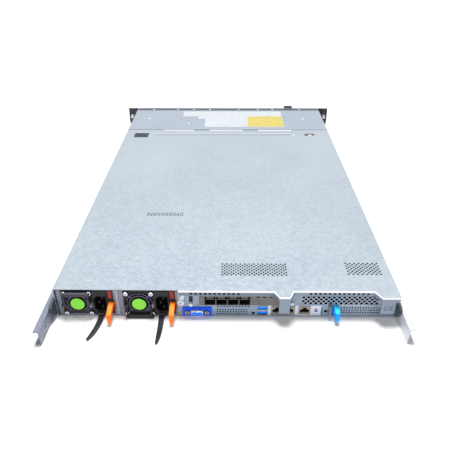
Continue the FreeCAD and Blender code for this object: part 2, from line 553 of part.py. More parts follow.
cage.append(box(TAG[0] - 2.6, TAG[0] + 2, guide_y[0], guide_y[1], 37.2, 38.1))
cage.append(box(TAG[1] - 2, TAG[1] + 2.6, guide_y[0], guide_y[1], 37.2, 38.1))
save("drive_cage", Part.makeCompound(cage))
save("info_tag", box(TAG[0], TAG[1], TAG_Y[0], TAG_Y[1], 38.5, 40.4))
windows = [rect(x - 45, x + 45, 24, 36) for x in BAY_X]
plane_y = CAGE_Y - 8
plane = [plate(rect(3 - HALF_W, HALF_W - 3, FLOOR_T, 40), windows, plane_y, plane_y + 1.6, "y")]
plane += [box(x - 15, x + 15, plane_y + 1.6, plane_y + 11, 5, 13) for x in BAY_X]
save("drive_backplane", join(plane))
for i, cx in enumerate(BAY_X):
    half = CARRIER_HALF
    back = CAGE_Y + 5
    face = DEPTH - 10
    front = DEPTH - 2.4
    slots = [rect(cx - 46 + 7.6 * k, cx - 41.6 + 7.6 * k, 7, 31) for k in range(11)]
    body = [plate(rect(cx - half, cx + half, 2, CARRIER_TOP), slots, face, front, "y")]
    body.append(box(cx - half, cx + half, back, face, 2, 3))
    body.append(box(cx - half, cx - half + 1, back, face, 3, 29))
    body.append(box(cx + half - 1, cx + half, back, face, 3, 29))
    body.append(box(cx - 50.8, cx + 50.8, back + 3, face - 25, 3, 29.1))
    body.append(box(cx + 43, cx + 51.5, front, front + 5.4, 8, 10))
    body.append(box(cx + 43, cx + 51.5, front, front + 5.4, 26, 28))
    body.append(along_z(1.2, cx + 47, front + 2.8, 10, 26))
    save("drive_carrier_%d" % (i + 1), join(body))
    lever = plate(rect(cx - 47, cx + 48.6, front + 1.0, front + 4.6), [], 10.4, 25.6, "z")
    lever = drop(lever, [along_z(1.2 + PIN_GAP, cx + 47, front + 2.8, 8, 28)])
    save("carrier_lever_%d" % (i + 1), lever)


# Rails, their dark stops, the ears and what they hold
def rail(side):
    back = -RAIL_BACK[side]
    web_holes = [ngon(back + 21.5, 10.5, 2.1, 12), ngon(back + 21.5, 16.6, 1.0, 6)]
    web = rect(back, RAIL_END, RAIL_LOW, RAIL_HIGH)
    shapes = [plate(web, web_holes, RAIL_IN, RAIL_IN + RAIL_T, "x")]
    for z0, z1 in ((RAIL_LOW, RAIL_LOW + 1.3), (RAIL_HIGH - 1.3, RAIL_HIGH)):
        shapes.append(box(RAIL_IN + RAIL_T, RAIL_OUT, back, RAIL_END, z0, z1))
    for y in STUD_Y:
        shapes.append(along_x(4.2, y, 11, RAIL_IN + RAIL_T, RAIL_IN + RAIL_T + 1.2))
    whole = join(shapes)
    return whole if side == "right" else mirror_x(whole)


save("rail_right", rail("right"))
save("rail_left", rail("left"))
stop = [(24, 3), (24, 17), (6, 26), (-3, 27), (-10, 26.4), (-15, 23.6), (-15.4, 19), (-7, 6.4), (-1, 3)]
stop = plate(stop, [], HALF_W + CLEAR, RAIL_IN, "x")
save("rail_stops", Part.makeCompound([stop, mirror_x(stop)]))


NECK_R = 2.2


def ear(side):
    front = plate(rect(HALF_W, EAR_OUT, 5, 42), [], DEPTH - EAR_T, DEPTH, "y")
    fold_back = box(HALF_W, HALF_W + 1.4, DEPTH - 45, DEPTH - EAR_T, 5, 41)
    bores = [along_y(NECK_R + PIN_GAP, EAR_SCREW_X, EAR_SCREW_Z, DEPTH - 5, DEPTH + 5)]
    if side == "right":
        bores.append(along_y(3.0 + PIN_GAP, HALF_W + 9, 36, DEPTH - 5, DEPTH + 5))
    whole = drop(join([front, fold_back]), bores)
    return whole if side == "right" else mirror_x(whole)


save("ear_right", ear("right"))
save("ear_left", ear("left"))
screw = [along_y(5.4, EAR_SCREW_X, EAR_SCREW_Z, DEPTH + 0.3, DEPTH + 10)]
screw.append(along_y(NECK_R, EAR_SCREW_X, EAR_SCREW_Z, DEPTH - 3, DEPTH + 0.3))
screw.append(along_y(2.5, EAR_SCREW_X, EAR_SCREW_Z, DEPTH - 15, DEPTH - 6))
screw.append(along_y(3.5, EAR_SCREW_X, EAR_SCREW_Z, DEPTH - 6, DEPTH - 2))
screw = drop(join(screw), [box(EAR_SCREW_X - 4, EAR_SCREW_X + 4, DEPTH + 8.6, DEPTH + 11, 23.4, 24.6)])
save("ear_screw_right", screw)
save("ear_screw_left", mirror_x(screw))
knob = [along_y(3.0, HALF_W + 9, 36, DEPTH - 4, DEPTH + 1.4), along_y(3.9, HALF_W + 9, 36, DEPTH - 5, DEPTH - 2)]
save("power_button", join(knob))
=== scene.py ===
import bpy
import numpy as np
from mathutils import Matrix, Vector


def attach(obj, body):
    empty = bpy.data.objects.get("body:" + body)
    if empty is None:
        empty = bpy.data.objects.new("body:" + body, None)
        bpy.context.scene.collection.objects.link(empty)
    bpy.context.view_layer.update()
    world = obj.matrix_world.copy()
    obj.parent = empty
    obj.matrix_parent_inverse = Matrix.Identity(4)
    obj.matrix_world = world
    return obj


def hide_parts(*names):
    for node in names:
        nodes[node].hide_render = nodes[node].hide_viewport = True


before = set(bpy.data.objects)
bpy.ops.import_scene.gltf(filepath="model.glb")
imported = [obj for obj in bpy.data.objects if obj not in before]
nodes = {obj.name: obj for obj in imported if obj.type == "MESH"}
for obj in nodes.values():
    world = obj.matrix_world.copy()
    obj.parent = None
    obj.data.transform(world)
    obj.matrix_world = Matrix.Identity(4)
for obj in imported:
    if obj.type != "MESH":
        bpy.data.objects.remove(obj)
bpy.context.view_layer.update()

mm = 0.001


# An object for a mesh, a camera or a lamp, in the scene's collection
def addObject(name, data):
    made = bpy.data.objects.new(name, data)
    bpy.context.scene.collection.objects.link(made)
    return made


# Camera, fitted to the photograph by least squares on the modelled corners. Place in mm, angles in radians
cameraValues = {"place": (6.12, -480.61, 441.13), "pitch": 0.56061, "yaw": -0.01197, "roll": -0.00269,
                "lens": 39.587, "sensor": 36, "clipStart": 0.01}
pitchCos, yawCos, rollCos = (np.cos(cameraValues[angle]) for angle in ("pitch", "yaw", "roll"))
pitchSin, yawSin, rollSin = (np.sin(cameraValues[angle]) for angle in ("pitch", "yaw", "roll"))
forward = Vector((yawSin * pitchCos, yawCos * pitchCos, -pitchSin))
right = Vector((yawCos, -yawSin, 0))
upward = right.cross(forward)
axes = Matrix((right * rollCos + upward * rollSin, upward * rollCos - right * rollSin, -forward))
cameraData = bpy.data.cameras.new("camera")
cameraData.lens = cameraValues["lens"]
cameraData.sensor_width = cameraValues["sensor"]
cameraData.clip_start = cameraValues["clipStart"]
camera = addObject("camera", cameraData)
camera.matrix_world = Matrix.Translation(Vector(cameraValues["place"]) * mm) @ axes.transposed().to_4x4()
bpy.context.scene.camera = camera
bpy.context.scene.view_settings.view_transform = "Standard"
print("camera set")


# A new material with its node tree and its shader
def newMaterial(name):
    material = bpy.data.materials.new(name)
    material.use_nodes = True
    tree = material.node_tree
    return material, tree, tree.nodes["Principled BSDF"]


# A node of one kind, with its settings written on it
def addNode(tree, kind, **settings):
    node = tree.nodes.new(kind)
    for key, value in settings.items():
        setattr(node, key, value)
    return node


# A link from an output to an input
def plug(tree, source, target):
    tree.links.new(source, target)


# Writes values on a node's inputs, by their labels
def setInputs(node, values):
    for label, value in values.items():
        node.inputs[label].default_value = value


# Gives a socket its value: a number or a colour is written on it, an output is linked to it
def feed(tree, value, socket):
    if isinstance(value, (int, float)):
        socket.default_value = value
    elif isinstance(value, (tuple, list)):
        socket.default_value = (*value[:3], 1)
    elif value is not None:
        plug(tree, value, socket)


# One step of arithmetic: the operation applied to the first and the second value
def mathNode(tree, operation, first, second=None, clamp=False):
    node = addNode(tree, "ShaderNodeMath", operation=operation, use_clamp=clamp)
    for socket, value in zip(node.inputs, (first, second)):
        feed(tree, value, socket)
    return node.outputs[0]


# The product of two values
def times(tree, first, second):
    return mathNode(tree, "MULTIPLY", first, second)


# Two colours in proportion: first (1 - factor) + second factor
def mixColor(tree, factor, first, second):
    node = addNode(tree, "ShaderNodeMix", data_type="RGBA")
    for index, value in ((0, factor), (6, first), (7, second)):
        feed(tree, value, node.inputs[index])
    return node.outputs[2]


# A straight ramp from outLow to outHigh while the value goes from low to high, held outside
def rangeMap(tree, value, low, high, outLow=0.0, outHigh=1.0):
    node = addNode(tree, "ShaderNodeMapRange")
    plug(tree, value, node.inputs[0])
    for i, number in enumerate((low, high, outLow, outHigh)):
        node.inputs[i + 1].default_value = number
    return node.outputs[0]


# All values taken together: their product, their largest or their smallest
def gather(tree, operation, values):
    total, *others = values
    for value in others:
        total = mathNode(tree, operation, total, value)
    return total


# A noise from 0 to 1; its scale is a number or an output
def noiseAt(tree, vector, scale, **settings):
    node = addNode(tree, "ShaderNodeTexNoise")
    plug(tree, vector, node.inputs["Vector"])
    feed(tree, scale, node.inputs["Scale"])
    setInputs(node, settings)
    return node.outputs[0]


# The three parts of a coordinate by name, and the whole as vector
def coordinateParts(tree, kind="Object"):
    source = addNode(tree, "ShaderNodeTexCoord").outputs[kind]
    parts = addNode(tree, "ShaderNodeSeparateXYZ")
    plug(tree, source, parts.inputs[0])
    return {**dict(zip("xyz", parts.outputs)), "vector": source}


# The product of one ramp per edge, in mm of the row frame: 1 inside the bounds and 0 outside, over a border
# of twice the softness. A bound is low, high and at times its own softness; an edge that is None is left open
def rectMask(tree, axis, bounds, soft=0.3):
    ramps = []
    for way, (low, high, *own) in bounds.items():
        border = own[0] if own else soft
        for edge, ends in ((low, (0, 1)), (high, (1, 0))):
            if edge is not None:
                ramps.append(rangeMap(tree, axis[way], (edge - border) * mm, (edge + border) * mm, *ends))
    return gather(tree, "MULTIPLY", ramps)


# 1 inside a circle: first^2 + second^2 < r^2
def within(tree, first, second, r):
    square = mathNode(tree, "ADD", times(tree, first, first), times(tree, second, second))
    return mathNode(tree, "LESS_THAN", square, (r * mm) ** 2)


# Round marks: 1 where (x - x0)^2 + (other - other0)^2 < r^2 for any of the places
def spots(tree, axis, places, r, across="y"):
    return gather(tree, "MAXIMUM", [within(tree, mathNode(tree, "SUBTRACT", axis["x"], x0 * mm),
                                           mathNode(tree, "SUBTRACT", axis[across], other0 * mm), r)
                                    for x0, other0 in places])


# A row of round marks: x is wrapped to the nearest place of the row, then 1 where
# wrapped^2 + (other - rowAt)^2 < r^2, and 0 before the first and after the last
def dotRow(tree, axis, start, step, count, rowAt, r, across="y"):
    local = mathNode(tree, "SUBTRACT", axis["x"], start * mm)
    inside = times(tree, mathNode(tree, "GREATER_THAN", local, -0.5 * step * mm),
                   mathNode(tree, "LESS_THAN", local, (count - 0.5) * step * mm))
    wrapped = mathNode(tree, "PINGPONG", local, step * 0.5 * mm)
    return times(tree, inside, within(tree, wrapped, mathNode(tree, "SUBTRACT", axis[across], rowAt * mm), r))


# One step of arithmetic with vectors; each value is an output or three numbers
def vectorNode(tree, operation, *values):
    node = addNode(tree, "ShaderNodeVectorMath", operation=operation)
    for socket, value in zip(node.inputs, values):
        if isinstance(value, (tuple, Vector)):
            socket.default_value = value
        else:
            plug(tree, value, socket)
    return node.outputs


# Distance in x and y to the nearest point of a line: |p - (a + t d)|, t = clamp((p - a).d / d.d)
def lineDistance(tree, vector, line):
    flat = vectorNode(tree, "MULTIPLY", vector, (1, 1, 0))[0]
    lengths = []
    for (ax, ay), (bx, by) in zip(line[:-1], line[1:]):
        way = Vector((bx - ax, by - ay, 0)) * mm
        local = vectorNode(tree, "SUBTRACT", flat, (ax * mm, ay * mm, 0))[0]
        share = vectorNode(tree, "DOT_PRODUCT", local, way / way.length_squared)["Value"]
        along = vectorNode(tree, "MULTIPLY", mathNode(tree, "MULTIPLY", share, 1.0, clamp=True), way)[0]
        lengths.append(vectorNode(tree, "DISTANCE", local, along)["Value"])
    return gather(tree, "MINIMUM", lengths)


# Paint over a colour: color (1 - a m) + tone a m, with the mask m and the amount a
def paintOver(tree, color, mask, tone, amount=1.0):
    return mixColor(tree, mask if amount == 1.0 else times(tree, mask, amount), color, tone)


# The values of one painted patch: bounds for rectMask, tone, amount and softness
def patch(bounds, tone, amount=1.0, soft=0.3):
    return bounds, tone, amount, soft


# Patches painted over a colour one after another
def paintPatches(tree, axis, color, patches):
    for bounds, tone, amount, soft in patches:
        color = paintOver(tree, color, rectMask(tree, axis, bounds, soft), tone, amount)
    return color


# Bump from a height, on the shader's normal
def bumpTo(tree, shader, height, strength, distance):
    bump = addNode(tree, "ShaderNodeBump")
    setInputs(bump, {"Strength": strength, "Distance": distance})
    plug(tree, height, bump.inputs["Height"])
    plug(tree, bump.outputs[0], shader.inputs["Normal"])


# A node group with a vector input, number inputs and number outputs
def makeGroup(name, inputs, outputs):
    group = bpy.data.node_groups.new(name, "ShaderNodeTree")
    group.interface.new_socket("Vector", in_out="INPUT", socket_type="NodeSocketVector")
    for label, value in inputs.items():
        group.interface.new_socket(label, in_out="INPUT", socket_type="NodeSocketFloat").default_value = value
    for label in outputs:
        group.interface.new_socket(label, in_out="OUTPUT", socket_type="NodeSocketFloat")
    return group, group.nodes.new("NodeGroupInput").outputs, group.nodes.new("NodeGroupOutput").inputs


# Scratches are noises stretched along a turned axis, cut to their highest part
grainValues = {"cloudDetail": 5, "cloudRoughness": 0.55, "cloudRange": (0.3, 0.7), "scratchRange": (0.69, 0.75),
               "scratches": ((0.5, (14, 900, 1)), (-0.35, (700, 11, 1)), (1.1, (10, 620, 1))),
               "spangleHeight": 0.3, "dustDetail": 6, "dustRange": (0.42, 0.75), "flatRange": (0.2, 0.9, 0.25, 1)}


# Sheet steel: slow clouds, fine spangle and hair scratches. Height = 0.3 spangle - scratch
def makeSheetGroup():
    v = grainValues
    inputs = {"Cloud Scale": 9.0, "Spangle Scale": 260.0, "Scratch Amount": 0.5}
    group, taken, given = makeGroup("sheetGrain", inputs, ["Cloud", "Spangle", "Scratch", "Height"])
    vector = taken["Vector"]
    cloud = noiseAt(group, vector, taken["Cloud Scale"], Detail=v["cloudDetail"], Roughness=v["cloudRoughness"])
    spangle = addNode(group, "ShaderNodeTexVoronoi")
    plug(group, vector, spangle.inputs["Vector"])
    plug(group, taken["Spangle Scale"], spangle.inputs["Scale"])
    shades = addNode(group, "ShaderNodeSeparateColor")
    plug(group, spangle.outputs["Color"], shades.inputs[0])
    lines = []
    for turn, stretch in v["scratches"]:
        place = addNode(group, "ShaderNodeMapping")
        setInputs(place, {"Rotation": (0, 0, turn), "Scale": stretch})
        plug(group, vector, place.inputs["Vector"])
        lines.append(rangeMap(group, noiseAt(group, place.outputs[0], 1.0, Detail=2), *v["scratchRange"]))
    scratch = times(group, gather(group, "MAXIMUM", lines), taken["Scratch Amount"])
    height = mathNode(group, "SUBTRACT", times(group, shades.outputs[0], v["spangleHeight"]), scratch)
    plug(group, rangeMap(group, cloud, *v["cloudRange"]), given["Cloud"])
    plug(group, shades.outputs[0], given["Spangle"])
    plug(group, scratch, given["Scratch"])
    plug(group, height, given["Height"])
    return group


# Moulded or painted skin: fine grain, and dust = amount x noise x a ramp on how far the face looks up
def makeSkinGroup():
    v = grainValues
    inputs = {"Grain Scale": 1400.0, "Dust Scale": 60.0, "Dust Amount": 0.25}
    group, taken, given = makeGroup("skinGrain", inputs, ["Grain", "Dust"])
    vector = taken["Vector"]
    dust = noiseAt(group, vector, taken["Dust Scale"], Detail=v["dustDetail"])
    flat = rangeMap(group, coordinateParts(group, "Normal")["z"], *v["flatRange"])
    film = times(group, rangeMap(group, dust, *v["dustRange"]), flat)
    plug(group, times(group, film, taken["Dust Amount"]), given["Dust"])
    plug(group, noiseAt(group, vector, taken["Grain Scale"]), given["Grain"])
    return group


sheetGroup = makeSheetGroup()
skinGroup = makeSkinGroup()


# A shared group in a material's tree, with its values
def placeGroup(tree, group, vector, values):
    node = addNode(tree, "ShaderNodeGroup", node_tree=group)
    plug(tree, vector, node.inputs["Vector"])
    setInputs(node, values)
    return node.outputs


sheetLook = {"paler": 1.12, "spangleShare": 0.35, "scratchShare": 0.45, "scratchTone": (0.9, 0.92, 0.95),
             "roughSpread": (-0.07, 0.09), "bump": (0.25, 0.00005)}
skinLook = {"paler": (1.25, 0.01), "dustTone": (0.55, 0.55, 0.58), "roughSpread": 0.06, "dustRough": 0.4,
            "bump": (0.12, 0.00004)}


# Sheet metal: shade to base by the clouds, a little paler by the spangle, pale scratches, then paint and patches.
# Roughness = roughness + a ramp of the spangle from -0.07 to 0.09
def sheetMetal(name, base, shade, roughness=0.42, metallic=0.35, scratches=0.5, paint=None, patches=(), clouds=9.0):
    v = sheetLook
    material, tree, shader = newMaterial(name)
    axis = coordinateParts(tree)
    grain = placeGroup(tree, sheetGroup, axis["vector"], {"Scratch Amount": scratches, "Cloud Scale": clouds})
    color = mixColor(tree, grain["Cloud"], shade, base)
    paler = tuple(min(1, c * v["paler"]) for c in base)
    color = paintOver(tree, color, grain["Spangle"], paler, v["spangleShare"])
    color = paintOver(tree, color, grain["Scratch"], v["scratchTone"], v["scratchShare"])
    if paint:
        color = paint(tree, axis, color)
    color = paintPatches(tree, axis, color, patches)
    rough = rangeMap(tree, grain["Spangle"], 0, 1, *(roughness + spread for spread in v["roughSpread"]))
    plug(tree, color, shader.inputs["Base Color"])
    plug(tree, rough, shader.inputs["Roughness"])
    shader.inputs["Metallic"].default_value = metallic
    bumpTo(tree, shader, grain["Height"], *v["bump"])
    return material


# Moulding: base to a paler tone by the grain, then paint and patches, then a film of dust.
# Roughness = roughness + a ramp of the grain from -0.06 to 0.06 + 0.4 dust. Bright pigments are given a little glow
# of their own, painted light
def moulded(name, base, roughness, dust, coat=0.0, paint=None, patches=(), grain=1400.0, glow=0.0, shine=0.5):
    v = skinLook
    material, tree, shader = newMaterial(name)
    axis = coordinateParts(tree)
    skin = placeGroup(tree, skinGroup, axis["vector"], {"Dust Amount": dust, "Grain Scale": grain})
    paler = tuple(min(1, c * v["paler"][0] + v["paler"][1]) for c in base)
    color = mixColor(tree, skin["Grain"], base, paler)
    if paint:
        color = paint(tree, axis, color)
    color = paintPatches(tree, axis, color, patches)
    color = paintOver(tree, color, skin["Dust"], v["dustTone"])
    spread = v["roughSpread"]
    rough = mathNode(tree, "ADD", rangeMap(tree, skin["Grain"], 0, 1, roughness - spread, roughness + spread),
                     times(tree, skin["Dust"], v["dustRough"]))
    plug(tree, color, shader.inputs["Base Color"])
    plug(tree, rough, shader.inputs["Roughness"])
    setInputs(shader, {"Coat Weight": coat, "Specular IOR Level": shine, "Emission Color": (*base, 1),
                       "Emission Strength": glow})
    bumpTo(tree, shader, skin["Grain"], *v["bump"])
    return material


# Gives CAD nodes their material
def dress(material, names):
    for name in names:
        nodes[name].data.materials.clear()
        nodes[name].data.materials.append(material)


# The names of like nodes, numbered from 1
def numbered(name, count):
    return [name % (i + 1) for i in range(count)]


# Cover: dimples drawn in painted highlight and painted shade, hooks, the seam's painted highlight strips and gaps,
# painted shade on the walls of the openings, the lock's dish with painted shade and painted light, painted shade
# on the folded rear flange and a painted highlight line along its bent edge
coverPaint = {
    # Dimples are drawn as one row of painted highlight dots and two rows of painted shade dots
    "dimpleLightAndShade": ((522.6, (0.8, 0.84, 0.9)), (518.2, (0.10, 0.12, 0.16)), (512.6, (0.2, 0.23, 0.28))),
    "dimpleRow": (-152, 6.0, 48), "dimpleRadius": 1.7, "dimpleAmount": 0.8,
    "hooks": (-5, 47, 98, 150, 202), "hookY": 205, "hookHalf": (5, 3), "hookSoft": 0.4,
    "hookTone": ((0.2, 0.23, 0.28), 0.28),
    "pin": (141.5, 515.4), "pinRadius": 2.2, "pinTone": (0.95, 0.96, 0.98),
    "patches": [
        # Painted highlight strips along the seam, then dark gaps between them and a dark seam line
        *(patch({"x": ends, "y": (539.5, 543.2)}, (0.97, 0.98, 1.0), soft=0.4)
          for ends in ((-138, -73), (-39, 33.5), (65.5, 139))),
        *(patch({"x": ends, "y": (540, 544.5)}, (0.14, 0.17, 0.24), 0.75, 0.4)
          for ends in ((-73, -39), (33.5, 65.5))),
        patch({"y": (543.2, 545)}, (0.10, 0.11, 0.14), 0.9, 0.2),
        # Painted shade on the walls of the openings
        patch({"x": (-212, 212), "y": (20, 539), "z": (38, 42.9)}, (0.012, 0.014, 0.018), soft=0.03),
        # The lock's dish: painted shade on its far wall, painted light on its floor and near walls
        patch({"x": (160, 191), "y": (519.5, 526), "z": (39.0, 42.9)}, (0.26, 0.23, 0.23), soft=0.03),
        patch({"x": (160, 191), "y": (504, 519.5), "z": (39.0, 42.8)}, (0.92, 0.84, 0.82), soft=0.1),
        # Painted shade on the folded rear flange, darker on its left part
        patch({"y": (None, 3, 1), "z": (None, 41.3)}, (0.27, 0.33, 0.42)),
        patch({"x": (-60, 66), "y": (None, 3, 1), "z": (30, 41.6)}, (0.19, 0.24, 0.31))],
    "edge": [(-58, -3), (61, -3), (67.5, -14.4), (81, -14.4), (86.5, -2.2),
             (186.2, -2.2), (193.7, -14.6), (215.6, -14.6)],
    "highlightWidth": (0.8, 1.7), "highlightFrom": {"z": (41.55, None)}, "highlightSoft": 0.25, "highlightTone": (1, 1, 1)}


# A hook is a box less a box moved by 1 mm; the painted highlight along the edge is a ramp of the distance to its
# line
def paintCover(tree, axis, color):
    v = coverPaint
    for row, tone in v["dimpleLightAndShade"]:
        marks = dotRow(tree, axis, *v["dimpleRow"], row, v["dimpleRadius"])
        color = paintOver(tree, color, marks, tone, v["dimpleAmount"])
    halfX, halfY = v["hookHalf"]
    y = v["hookY"]
    for x in v["hooks"]:
        outer = rectMask(tree, axis, {"x": (x - halfX, x + halfX), "y": (y - halfY, y + halfY)}, v["hookSoft"])
        inner = rectMask(tree, axis, {"x": (x - halfX + 1, x + halfX - 1), "y": (y - halfY - 1, y + halfY - 1)},
                         v["hookSoft"])
        ring = mathNode(tree, "SUBTRACT", outer, inner, clamp=True)
        color = paintOver(tree, color, ring, *v["hookTone"])
    color = paintOver(tree, color, spots(tree, axis, [v["pin"]], v["pinRadius"]), v["pinTone"])
    color = paintPatches(tree, axis, color, v["patches"])
    near, far = v["highlightWidth"]
    line = rangeMap(tree, lineDistance(tree, axis["vector"], v["edge"]), near * mm, far * mm, 1, 0)
    high = rectMask(tree, axis, v["highlightFrom"], v["highlightSoft"])
    return paintOver(tree, color, times(tree, line, high), v["highlightTone"])


labelRows = {"waveScale": 62, "waveRange": (0.55, 0.75), "noiseScale": 130, "noiseRange": (0.47, 0.55)}


# Bare labels with faint rows that stand for print: mask x bands of a wave x a noise that breaks them up
def labelPrint(tree, axis, mask, color, ink, amount):
    wave = addNode(tree, "ShaderNodeTexWave", bands_direction="Y")
    setInputs(wave, {"Scale": labelRows["waveScale"]})
    plug(tree, axis["vector"], wave.inputs["Vector"])
    broken = noiseAt(tree, axis["vector"], labelRows["noiseScale"])
    rows = times(tree, rangeMap(tree, wave.outputs[1], *labelRows["waveRange"]),
                 rangeMap(tree, broken, *labelRows["noiseRange"]))
    return paintOver(tree, color, times(tree, rows, mask), ink, amount)


# Deck: a white label in three parts with a painted shadow at its lower edge, a yellow one, spots and a dark rear
# edge
deckPaint = {"white": ((-104, -66, 628, 663), (-68, -49, 612, 663), (-51, 125, 562, 663)),
             "whiteTone": (0.66, 0.70, 0.74), "whiteInk": ((0.34, 0.39, 0.45), 0.38),
             "shade": (-1.6, 1), "labelShadowTone": ((0.2, 0.22, 0.27), 0.45), "soft": 0.4,
             "yellow": {"x": (45, 125), "y": (563.5, 629)}, "yellowTone": (0.70, 0.58, 0.13),
             "yellowInk": ((0.25, 0.20, 0.06), 0.28),
             "dots": ((-180, 614), (-88, 584), (171.5, 612.5)), "dotRadius": 2.4, "dotTone": (0.95, 0.97, 1.0),
             "patches": [patch({"x": (48, 122), "y": (617, 618.4)}, (0.3, 0.25, 0.1), 0.5),
                         patch({"y": (543, 546.2)}, (0.12, 0.13, 0.17), 0.8)]}


# The white label's mask is the largest of its parts' masks
def paintDeck(tree, axis, color):
    v = deckPaint
    low, high = v["shade"]
    whole = gather(tree, "MAXIMUM", [rectMask(tree, axis, {"x": (x0, x1), "y": (y0, y1)}, v["soft"])
                                     for x0, x1, y0, y1 in v["white"]])
    # A painted shadow under the lower edge of each part of the white label
    for x0, x1, y0, y1 in v["white"]:
        shade = rectMask(tree, axis, {"x": (x0, x1), "y": (y0 + low, y0 + high)}, v["soft"])
        color = paintOver(tree, color, shade, *v["labelShadowTone"])
    color = paintOver(tree, color, whole, v["whiteTone"])
    color = labelPrint(tree, axis, whole, color, *v["whiteInk"])
    yellow = rectMask(tree, axis, v["yellow"], v["soft"])
    color = paintOver(tree, color, yellow, v["yellowTone"])
    color = labelPrint(tree, axis, yellow, color, *v["yellowInk"])
    color = paintPatches(tree, axis, color, v["patches"])
    return paintOver(tree, color, spots(tree, axis, v["dots"], v["dotRadius"]), v["dotTone"])


# Panel: white fields beside the ports, painted glints under the slot, and painted shade behind its face
panelPaint = {"glints": (130, 5.0, 11, 19.8, 0.8), "glintTone": (0.85, 0.9, 0.95),
              "patches": [*(patch({"x": ends, "z": (2, 18.2)}, (0.72, 0.76, 0.88))
                            for ends in ((89.5, 123), (55.2, 59.0))),
                          patch({"y": (0.13, None, 0.03)}, (0.012, 0.014, 0.02))]}


# A row of dots, then the patches
def paintPanel(tree, axis, color):
    glints = dotRow(tree, axis, *panelPaint["glints"], across="z")
    color = paintOver(tree, color, glints, panelPaint["glintTone"])
    return paintPatches(tree, axis, color, panelPaint["patches"])


buttonPaint = {"at": (116.6, 10.8), "ring": 1.9, "ringTones": ((0.72, 0.76, 0.88), (0.02, 0.03, 0.12)),
               "dot": 0.9, "dotTone": (0.10, 0.30, 0.85)}


# Identification button: white, with a dark round and a blue dot at its middle
def paintButton(tree, axis, color):
    v = buttonPaint
    ring, dot = (spots(tree, axis, [v["at"]], v[size], across="z") for size in ("ring", "dot"))
    return paintOver(tree, mixColor(tree, ring, *v["ringTones"]), dot, v["dotTone"])


cagePaint = {"rivets": (-178.6, -121.0, -82.6, -43.3, 25.7, 72.0, 106.9, 171.4), "rivetY": 680,
             "rivetRadius": 2.3, "rivetTone": (0.95, 0.96, 1.0)}


# Drive cage: one row of bright round rivets
def paintCage(tree, axis, color):
    v = cagePaint
    rivets = spots(tree, axis, [(x, v["rivetY"]) for x in v["rivets"]], v["rivetRadius"])
    return paintOver(tree, color, rivets, v["rivetTone"])


# Supplies: the middle of each fan in x, and its handle's way (1 up, -1 down)
fans = {"psu_1": (-187.8, 1), "psu_2": (-109.2, -1)}
fanHeight = 21.0

# Cases: steel margins, a red release mark, painted shade in a notch and painted highlights on the handle's pivots,
# set from the fan's middle as x0, x1, z0, z1; behind the black face the housing is bare sheet
steel, pivotHighlight = (0.30, 0.33, 0.40), (0.40, 0.42, 0.50)
caseMarks = [((-26, -20, 0, 43), steel, 1.0), ((-26, 49, 0, 3.6), steel, 1.0), ((46.4, 49, 0, 43), steel, 1.0),
             ((39.5, 44.5, 29, 40.5), (0.42, 0.05, 0.04), 0.9),
             ((43.2, 47.2, 23.2, 27.2), (0.005, 0.005, 0.008), 1.0),
             ((-17.5, -13.4, 15.5, 21.5), pivotHighlight, 0.55), ((15.5, 19.3, 14, 24), pivotHighlight, 0.55)]
casePatches = [patch({"x": (fan + x0, fan + x1), "z": (z0, z1), "y": (None, 0.6, 0.2)}, tone, amount, 0.4)
               for fan, way in fans.values() for (x0, x1, z0, z1), tone, amount in caseMarks]
casePatches.append(patch({"y": (1.7, None, 0.2)}, (0.36, 0.40, 0.45)))

# Network card: tin cages with painted shade inside, pale spring fingers above them
cardPaint = {"cages": (-18.9, -4.2, 10.5, 25.2),
             "marks": [(6.4, {"z": (20.6, 29.0), "y": (-1.2, None, 0.3)}, (0.006, 0.006, 0.008)),
                       (4.6, {"z": (29.3, 32)}, (0.30, 0.28, 0.24))]}
cardPatches = [patch({"x": (x - half, x + half), **bounds}, tone, soft=0.15)
               for half, bounds, tone in cardPaint["marks"] for x in cardPaint["cages"]]

# Ports: painted shade in their mouths. Slot cover: painted shade behind its face, below the top edge. Fittings: a
# dark field
ports = {"usbX": 48.1, "usbZ": (6.3, 13.9), "lanX": (66.9, 82.1, 101.9), "lanHalf": 6.2}
lanMouthShade = [patch({"x": (x - ports["lanHalf"], x + ports["lanHalf"]), "z": (6, 14.8), "y": (-0.15, None, 0.35)},
                    (0.008, 0.007, 0.007), soft=0.15) for x in ports["lanX"]]
usbMouthShade = [patch({"y": (0.25, None, 0.35)}, (0.008, 0.008, 0.012))]
combHoleShade = [patch({"y": (0.55, None, 0.05), "z": (None, 35.7, 0.2)}, (0.012, 0.014, 0.02))]
fittingPatches = [patch({"x": (131, 137)}, (0.20, 0.23, 0.30))]

